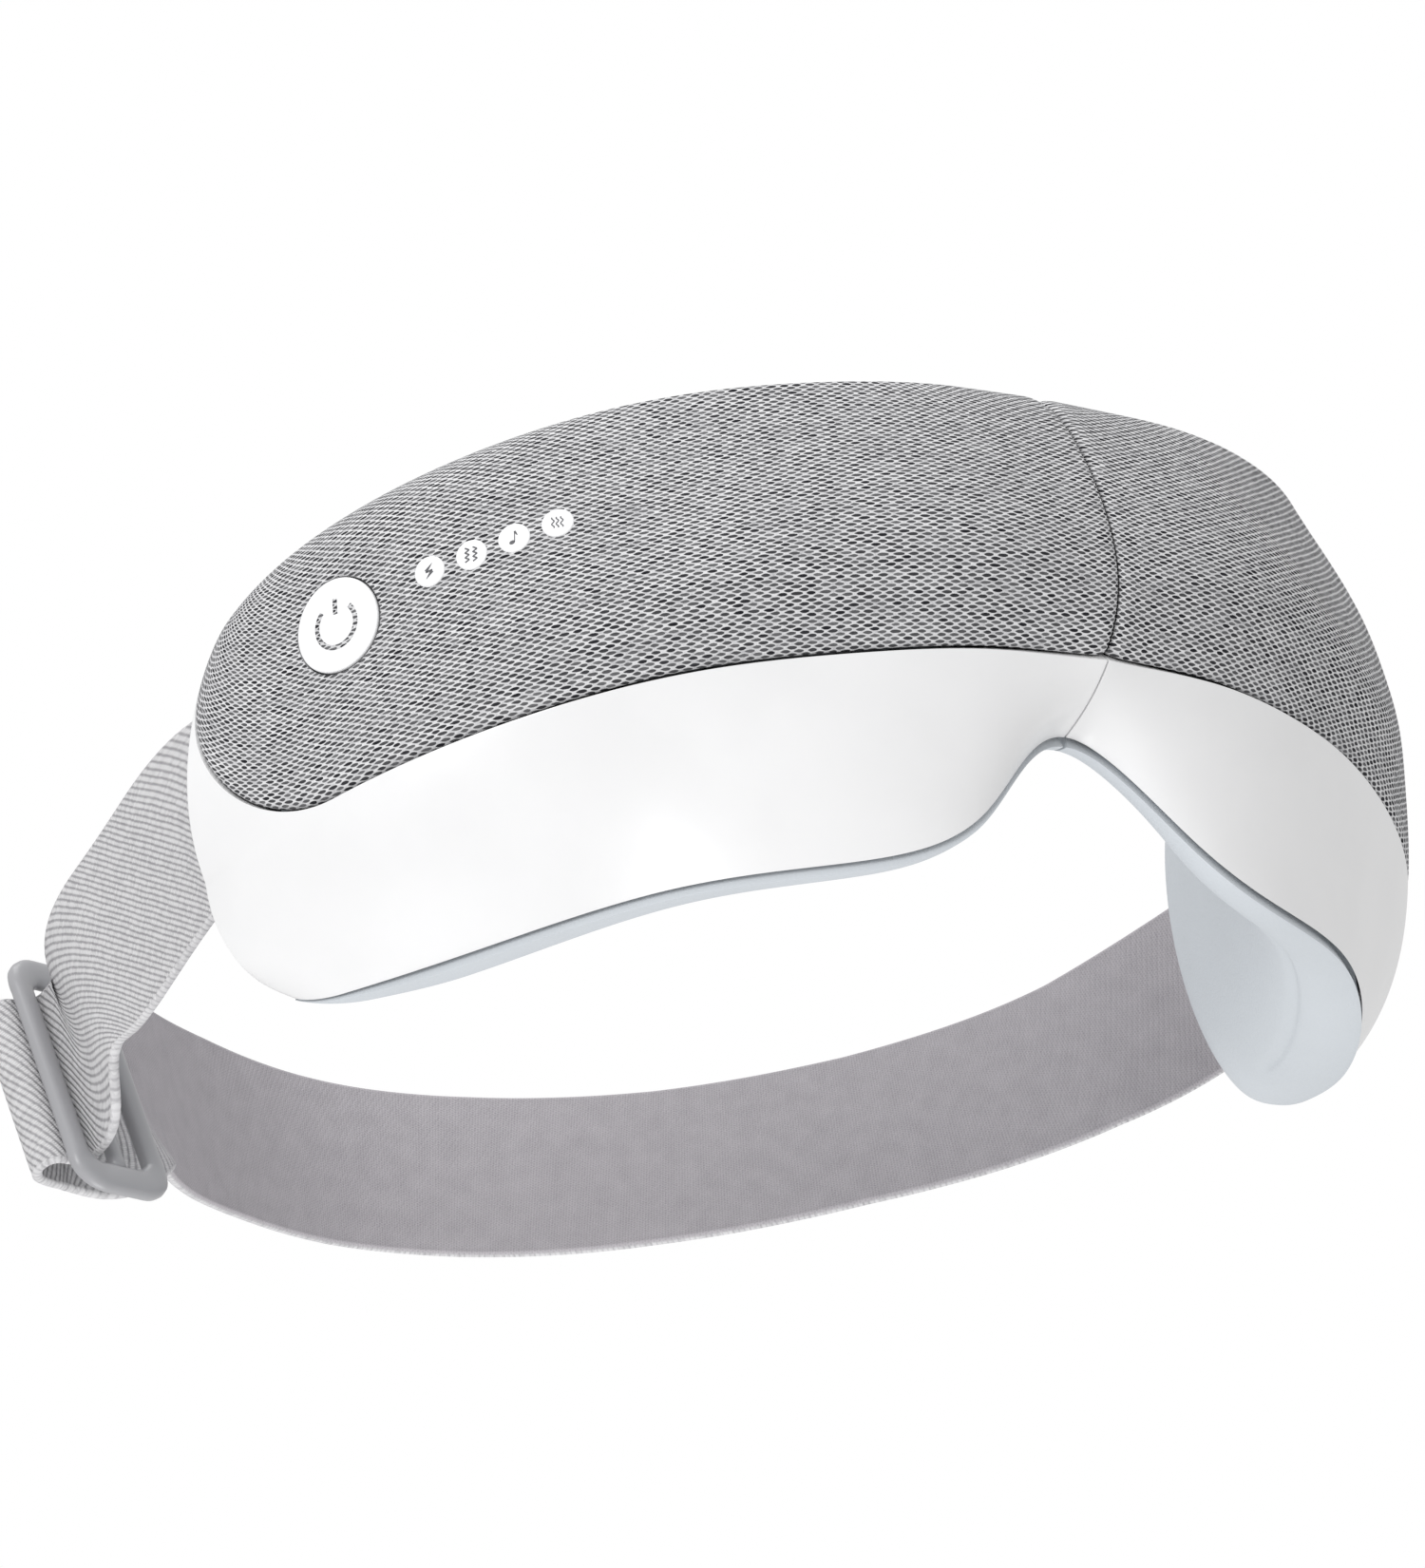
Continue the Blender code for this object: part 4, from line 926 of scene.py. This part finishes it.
def strap_piece(name, start, end, width, wall, spacing=0.7):
    """The strap between two distances along its line, its section square to the line."""
    at = np.linspace(start, end, int((end - start) / spacing))
    middle = spline(knot_at, line_points, at)
    lean = np.stack([np.interp(at, knot_at, line_leans[:, i]) for i in (0, 1)], -1)
    ahead = spline(knot_at, line_points, at + 0.05) - middle
    ahead /= np.linalg.norm(ahead, axis=1, keepdims=True)
    up = np.concatenate([lean, np.ones((len(at), 1))], 1)
    up -= (up * ahead).sum(1, keepdims=True) * ahead
    up /= np.linalg.norm(up, axis=1, keepdims=True)
    through = np.cross(ahead, up)
    outline = strap_section(width, wall)
    rings = middle[:, None] + up[:, None] * outline[:, :1] + through[:, None] * outline[:, 1:]
    uv = np.stack(np.broadcast_arrays(at[:, None], outline[None, :, 0] + width / 2), -1)
    plain = smooth_step((at - turn_end) / INNER_FADE)
    inner = np.append(plain[:, None] * (outline[:, 1] > wall * 0.3), [0, 0])
    return dress(closed_tube(name, rings, RIGHT, uv, {"inner": inner}), WEBBING)


short_run = strap_piece("strap_short_run", 0, turn_end, STRAP_WIDTH, STRAP_WALL)
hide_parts("strap_side", "strap_fold")
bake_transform(short_run)
long_run = strap_piece(
    "strap_long_run", turn_overlap, strap_length, STRAP_WIDTH + SLEEVE, STRAP_WALL + SLEEVE
)
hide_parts("strap_back")
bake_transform(long_run)
for piece, length in ((short_run, turn_end), (long_run, strap_length - turn_overlap)):
    print(piece.name, len(piece.data.polygons), "faces")

# %% [markdown]
# ## The buckle
#
# A tri-glide: a rounded frame with a bar across its middle. The frame is an oval section carried
# round a rectangle with round corners, wider at its two ends than along its bars.

# %% Buckle
BUCKLE_WIDTH, BUCKLE_LENGTH = 17.0, 36.9
BUCKLE_BAR, BUCKLE_CORNER = 2.6, 3.6
BAR_SPARE, END_SPARE, END_START = 0.25, 0.75, 13.0  # extra half width of the frame, and of its ends
MIDDLE_BAR_HALF = 16.4


def swept(points, up, half_width, half_height, sides=16):
    """Rings of an oval along a line: half_width lies in the line's plane, half_height along up."""
    ahead = np.roll(points, -1, 0) - np.roll(points, 1, 0)
    ahead /= np.linalg.norm(ahead, axis=1, keepdims=True)
    outwards = np.cross(ahead, up)
    angle = np.linspace(0, 2 * math.pi, sides, endpoint=False)
    oval_x, oval_y = (np.sign(c) * np.abs(c) ** 0.8 for c in (np.cos(angle), np.sin(angle)))
    out = outwards[:, None] * oval_x[:, None] * np.reshape(half_width, (-1, 1, 1))
    return points[:, None] + out + np.asarray(up) * oval_y[:, None] * half_height


def rounded_rectangle(width, length, corner, steps=14):
    """A closed line round a rectangle with round corners, as (across, along) points."""
    corners = []
    for number, signs in enumerate(((1, 1), (-1, 1), (-1, -1), (1, -1))):
        angle = np.linspace(0, math.pi / 2, steps) + number * math.pi / 2
        centre = np.array(signs) * (width / 2 - corner, length / 2 - corner)
        corners.append(centre + corner * np.stack([np.cos(angle), np.sin(angle)], -1))
    return np.concatenate(corners)


def add_buckle():
    """The frame's closed ring and the bar across it, turned to the way the buckle lies."""
    inner = rounded_rectangle(BUCKLE_WIDTH - BUCKLE_BAR, BUCKLE_LENGTH - BUCKLE_BAR, BUCKLE_CORNER)
    local = np.concatenate([inner, np.zeros((len(inner), 1))], 1)
    flare = END_SPARE * smooth_step((np.abs(inner[:, 1]) - END_START) / 3)
    width = BUCKLE_BAR / 2 + BAR_SPARE + flare
    frame_rings = swept(local, (0, 0, 1.0), width, 1.25)
    along = np.linspace(-MIDDLE_BAR_HALF, MIDDLE_BAR_HALF, 30)
    bar_line = np.stack([0 * along, along, 0 * along], -1)
    bar_rings = swept(bar_line, (0, 0, 1.0), BUCKLE_BAR / 2 * 0.92, 1.0)[1:-1]
    turn = np.array((BUCKLE_ALONG, BUCKLE_UP, BUCKLE_FRONT))
    points = np.concatenate([frame_rings.reshape(-1, 3), bar_rings.reshape(-1, 3)])
    points = points @ turn + np.array(BUCKLE_CENTRE)
    sides = frame_rings.shape[1]
    faces = grid_faces(len(frame_rings), sides, wrap_rows=True, wrap_columns=True).tolist()
    start = frame_rings.shape[0] * sides
    faces += (grid_faces(len(bar_rings), sides, wrap_columns=True) + start).tolist()
    faces.append((np.arange(sides) + start).tolist())
    faces.append((np.arange(sides)[::-1] + start + (len(bar_rings) - 1) * sides).tolist())
    return add_mesh("sliding_buckle", points, faces)


buckle = dress(add_buckle(), BUCKLE_GREY)
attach(buckle, "buckle")
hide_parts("buckle")
print(buckle.name, len(buckle.data.polygons), "faces")

# %% [markdown]
# ## The button and the indicator discs
#
# The power button and its four neighbours are thin white discs that follow the curve of the cloth.
# Each point of the flat drawing looks for the surface point straight under it: a few Newton steps in
# (u, v) bring the two together for all points at once. The button stands in a round opening.

# %% Lay a drawing on the surface
BUTTON_PLACE, BUTTON_RADIUS = (0.849, 0.506), 6.6
BUTTON_RISE, BUTTON_SINK = 0.35, 0.5
WINDOW_PLACES = {
    "charge": (0.767, 0.554),
    "vibration": (0.732, 0.570),
    "music": (0.697, 0.589),
    "heat": (0.661, 0.606),
}
WINDOW_RADIUS, WINDOW_RISE, WINDOW_SINK = 2.2, 0.22, 0.4


def tangent_frame(u, v):
    """The surface point at (u, v), and three directions: level, up the slope, and outwards."""
    nudge = 1e-4
    point = surface(np.array(u), np.array(v))
    along = surface(np.array(u + nudge), np.array(v)) - point
    up = surface(np.array(u), np.array(v + nudge)) - point
    normal = np.cross(along, up)
    normal /= np.linalg.norm(normal)
    level = np.cross((0, 0, 1), normal)
    level /= np.linalg.norm(level)
    return point, level, np.cross(normal, level), normal


def laid_on(where, flat, height):
    """A flat drawing's points on the right half's surface at where, raised by height."""
    centre, level, up, normal = tangent_frame(*where)
    flat = np.asarray(flat, float)
    uv = np.broadcast_to(np.array(where), flat.shape).copy()
    nudge = 1e-4
    for _ in range(5):
        point = surface(uv[..., 0], uv[..., 1])
        miss = np.stack([(point - centre) @ level, (point - centre) @ up], -1) - flat
        by_u = (surface(uv[..., 0] + nudge, uv[..., 1]) - point) / nudge
        by_v = (surface(uv[..., 0], uv[..., 1] + nudge) - point) / nudge
        slopes = np.stack([level, up]) @ np.stack([by_u, by_v], -1)
        uv -= np.linalg.solve(slopes, miss[..., None])[..., 0]
    point = surface(uv[..., 0], uv[..., 1])
    return point + normal * np.asarray(height)[..., None]


print("button centre before mirroring:", tangent_frame(*BUTTON_PLACE)[0].round(1), "mm")

# %% Discs


def disc_rings(radius, rise, sink, edge=0.25, sides=96, rings=14):
    """A turned disc's rings: the top from its middle, a rounded rim, then down the side."""
    flat = np.linspace(0.02, 1, rings) * (radius - edge)
    bend = np.linspace(math.pi / 2, 0, 6)[1:]
    radii = np.concatenate([flat, radius - edge + edge * np.cos(bend), [radius]])
    heights = np.concatenate([np.full(rings, rise), rise - edge + edge * np.sin(bend), [-sink]])
    angle = np.linspace(0, 2 * math.pi, sides, endpoint=False)
    circle = np.stack([np.cos(angle), np.sin(angle)], -1)
    return radii[:, None, None] * circle[None], heights[:, None] + 0 * angle[None]


def add_disc(name, where, radius, rise, sink):
    """A disc on the left half's surface, standing out by rise and let in by sink."""
    flat, height = disc_rings(radius, rise, sink)
    return closed_tube(name, laid_on(where, flat, height), LEFT)


button = add_disc("power_disc", BUTTON_PLACE, BUTTON_RADIUS, BUTTON_RISE, BUTTON_SINK)
dress(button, DISC_WHITE)
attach(button, "power_button")
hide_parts("power_button")
for word, where in WINDOW_PLACES.items():
    disc = add_disc(word + "_disc", where, WINDOW_RADIUS, WINDOW_RISE, WINDOW_SINK)
    dress(disc, DISC_WHITE)
    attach(disc, "left_half")
    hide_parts(word + "_window")
print("discs:", 1 + len(WINDOW_PLACES))

# %% Openings for the power button and the charging port
OPENING_CLEARANCE = 0.25
PORT_PLACE, PORT_OPENING = (0.9, 0.13), (10.8, 5.0)
ROUND_CUT, OBLONG_CUT = 9.0, 14.0  # how deep the cutters are
DRUM = {"cap_ends": True, "segments": 96, "radius1": 1, "radius2": 1, "depth": 1}


def cut_opening(piece, where, side, scale, cutter, **shape):
    """Cuts a unit cutter, scaled, through a piece, square to the surface at where."""
    centre, level, up, normal = (Vector(part) for part in tangent_frame(*where))
    build = bmesh.new()
    cutter(build, **shape)
    bmesh.ops.scale(build, vec=scale, verts=build.verts)
    turn = Matrix((level, up, normal)).transposed().to_4x4()
    flip = Matrix.Diagonal((side * MM, MM, MM, 1))
    bmesh.ops.transform(build, matrix=flip @ Matrix.Translation(centre) @ turn, verts=build.verts)
    bmesh.ops.recalc_face_normals(build, faces=build.faces)
    mesh = bpy.data.meshes.new("opening")
    build.to_mesh(mesh)
    build.free()
    cutter = bpy.data.objects.new("opening", mesh)
    link(cutter)
    change = piece.modifiers.new("opening", "BOOLEAN")
    change.object = cutter
    graph = bpy.context.evaluated_depsgraph_get()
    cut_mesh = bpy.data.meshes.new_from_object(piece.evaluated_get(graph))
    piece.modifiers.clear()
    piece.data = cut_mesh
    bpy.data.objects.remove(cutter)
    print(piece.name, "opened:", len(piece.data.polygons), "faces")


radius = BUTTON_RADIUS + OPENING_CLEARANCE
scale = (radius, radius, ROUND_CUT)
knit = bpy.data.objects["knit_front_left"]
cut_opening(knit, BUTTON_PLACE, LEFT, scale, bmesh.ops.create_cone, **DRUM)
scale = (*PORT_OPENING, OBLONG_CUT)
shell = bpy.data.objects["white_shell_right"]
cut_opening(shell, PORT_PLACE, RIGHT, scale, bmesh.ops.create_cube, size=1)

# %% [markdown]
# ## Symbols
#
# Each symbol is a few brush strokes: a line with a width at every point. A ring with a bar marks the
# power button, in the cloth's own weave. The discs carry a flash for charging, two zigzags for
# vibration, a note for music and three waves for heat.

# %% Strokes
INK = 0.02  # how far a symbol stands out of its disc
INK_WALL = 0.1


def stroke(points, widths, samples=40):
    """A ribbon along straight runs, its width carried evenly between the points."""
    points = np.asarray(points, float)
    share = np.insert(np.cumsum(np.linalg.norm(np.diff(points, axis=0), axis=1)), 0, 0)
    at = np.linspace(0, share[-1], samples)
    line = np.stack([np.interp(at, share, points[:, i]) for i in (0, 1)], -1)
    ahead = np.gradient(line, axis=0)
    ahead /= np.linalg.norm(ahead, axis=1, keepdims=True)
    across = np.stack([-ahead[:, 1], ahead[:, 0]], -1)
    half = np.interp(at, share, np.broadcast_to(widths, len(points)))[:, None] / 2
    return np.stack([line - across * half, line, line + across * half], 1)


def arc(radius, start, end, steps=60):
    """Points round the middle, from one angle to another in degrees."""
    angle = np.radians(np.linspace(start, end, steps))
    return np.stack([radius * np.cos(angle), radius * np.sin(angle)], -1)


def oval(centre, half_length, half_width, lean, steps=24):
    """An oval as one stroke: its width follows a half circle along its length."""
    share = np.linspace(-1, 1, steps)
    way = np.array((math.cos(lean), math.sin(lean)))
    line = np.array(centre) + way * (share * half_length)[:, None]
    return line, 2 * half_width * np.sqrt(1 - share**2) + 0.02


def wave(x, steps=40):
    """An upright line that swings by 0.16 with a sine of wavelength 0.95."""
    y = np.linspace(-0.85, 0.85, steps)
    return np.stack([x + 0.16 * np.sin(y * 2 * math.pi / 0.95), y], -1)


def zigzag(x):
    """Seven corners from top to bottom, left and right of x by turns."""
    y = np.linspace(1.05, -1.05, 7)
    return np.stack([x - 0.3 * (-1.0) ** np.arange(7), y], -1)


print("a zigzag has", len(zigzag(0)), "corners")

# %% Five symbols
SYMBOL_STROKES = {
    "charge": (
        ([(0.45, 1.05), (-0.45, 0.02)], (0.06, 0.5)),
        ([(-0.5, -0.1), (0.5, 0.1)], 0.26),
        ([(0.45, -0.02), (-0.45, -1.05)], (0.5, 0.06)),
    ),
    "vibration": ((zigzag(-0.55), 0.22), (zigzag(0.55), 0.22)),
    "music": (
        oval((-0.22, -0.72), 0.40, 0.28, 0.35),
        ([(0.12, -0.66), (0.12, 0.95)], 0.13),
        ([(0.12, 0.95), (0.38, 0.5), (0.5, 0.28)], (0.28, 0.2, 0.08)),
    ),
    "heat": ((wave(-0.6), 0.17), (wave(0.0), 0.17), (wave(0.6), 0.17)),
}
POWER_STROKES = ((arc(3.15, 135, 404), 0.72), ([(0.0, 1.5), (0.0, 3.7)], 0.72))


def add_symbol(name, where, strokes, rise):
    """All of a symbol's strokes as one piece, each a thin slab."""
    points, faces, places, count = [], [], [], 0
    for line, widths in strokes:
        flat = stroke(line, widths) * (-1, 1)
        top = laid_on(where, flat, np.full(flat.shape[:2], rise))
        base = laid_on(where, flat, np.full(flat.shape[:2], rise - INK_WALL))
        slab_points, slab_faces = slab_parts(top, base)
        points.append(slab_points)
        faces.append(slab_faces + count)
        places.append(np.concatenate([flat.reshape(-1, 2)] * 2))
        count += len(slab_points)
    points, faces, places = (np.concatenate(part) for part in (points, faces, places))
    return add_mesh(name, points * (LEFT, 1, 1), faces, places)


power_symbol = add_symbol("power_symbol", BUTTON_PLACE, POWER_STROKES, BUTTON_RISE + INK)
dress(power_symbol, KNIT)
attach(power_symbol, "power_button")
for word, strokes in SYMBOL_STROKES.items():
    symbol = add_symbol(word + "_symbol", WINDOW_PLACES[word], strokes, WINDOW_RISE + INK)
    dress(symbol, SYMBOL_GREY)
    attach(symbol, "left_half")
print("symbols:", 1 + len(SYMBOL_STROKES))

# %% [markdown]
# ## What stays from the mechanical model
#
# Inside pieces keep their shapes. They are hidden when the mask is closed, and show a little from
# behind and when it folds, so each gets the finish of what it is made of.

# %% Finishes for the frame's own pieces


def metal_paint(name, colour, roughness):
    """Drawn metal: fine scratches along Z that shift its colour, gloss and relief."""
    paint = Paint(name, Metallic=1.0)
    where = paint.solid_place()
    stretch = paint.node("ShaderNodeMapping", None, {"Vector": where, "Scale": (1.0, 1.0, 0.05)})
    scratch = paint.noise(stretch, 3500.0, 3.0)
    paint.colour(scratch, [c * 0.8 for c in colour], colour)
    paint.drive("Roughness", scratch * 0.2 + (roughness - 0.1))
    paint.relief(scratch, 0.00002, 0.5)
    return paint.material


def board_paint(name):
    """Solder mask, with slightly lighter lines over the copper tracks."""
    paint = Paint(name, Coat_Weight=0.3, Roughness=0.4)
    where = paint.solid_place()
    inputs = {"Vector": where, "Scale": 600.0}
    track = paint.node("ShaderNodeTexVoronoi", {"distance": "MANHATTAN", "feature": "F1"}, inputs)
    paint.colour(track.ease(0.35, 0.45), (0.02, 0.13, 0.05), (0.05, 0.24, 0.1))
    return paint.material


NODE_PAINTS = {
    "carrier_plastic": moulded_paint("carrier_grey_pp", (0.2, 0.21, 0.22), 0.55),
    "frame_plastic": moulded_paint("frame_grey_abs", (0.42, 0.45, 0.48), 0.5),
    "bladder": moulded_paint("bladder_tpu", (0.62, 0.64, 0.62), 0.35),
    "heating_film": moulded_paint("film_polyimide", (0.55, 0.26, 0.05), 0.35),
    "circuit_board": board_paint("green_board"),
    "cell_foil": moulded_paint("cell_pouch", (0.5, 0.52, 0.55), 0.4),
    "steel": metal_paint("drawn_steel", (0.62, 0.62, 0.64), 0.32),
    "dark_plastic": moulded_paint("dark_nylon", (0.03, 0.03, 0.035), 0.5),
}
slot_of = {row["node"]: row["material_slot"] for row in frame["record"]["subparts"]}
for name, node in frame["nodes"].items():
    paint = NODE_PAINTS.get(slot_of[name])
    if paint:
        node.data.materials.clear()
        node.data.materials.append(paint)
print("finished", sum(slot_of[name] in NODE_PAINTS for name in frame["nodes"]), "pieces of the frame")

# %% [markdown]
# ## The last check
#
# The last cell prints how far the visual model reaches past the mechanical model's box, where cloth
# may stand proud. The visual model has to stay within the mechanical model's box, give or take what
# cloth may stand proud.

# %% Sizes and the end
low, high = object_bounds()
above = [round((a - b) / MM, 1) for a, b in zip(high, cad_high)]
below = [round((b - a) / MM, 1) for a, b in zip(low, cad_low)]
print("box grows by", above, "mm above and", below, "mm below")
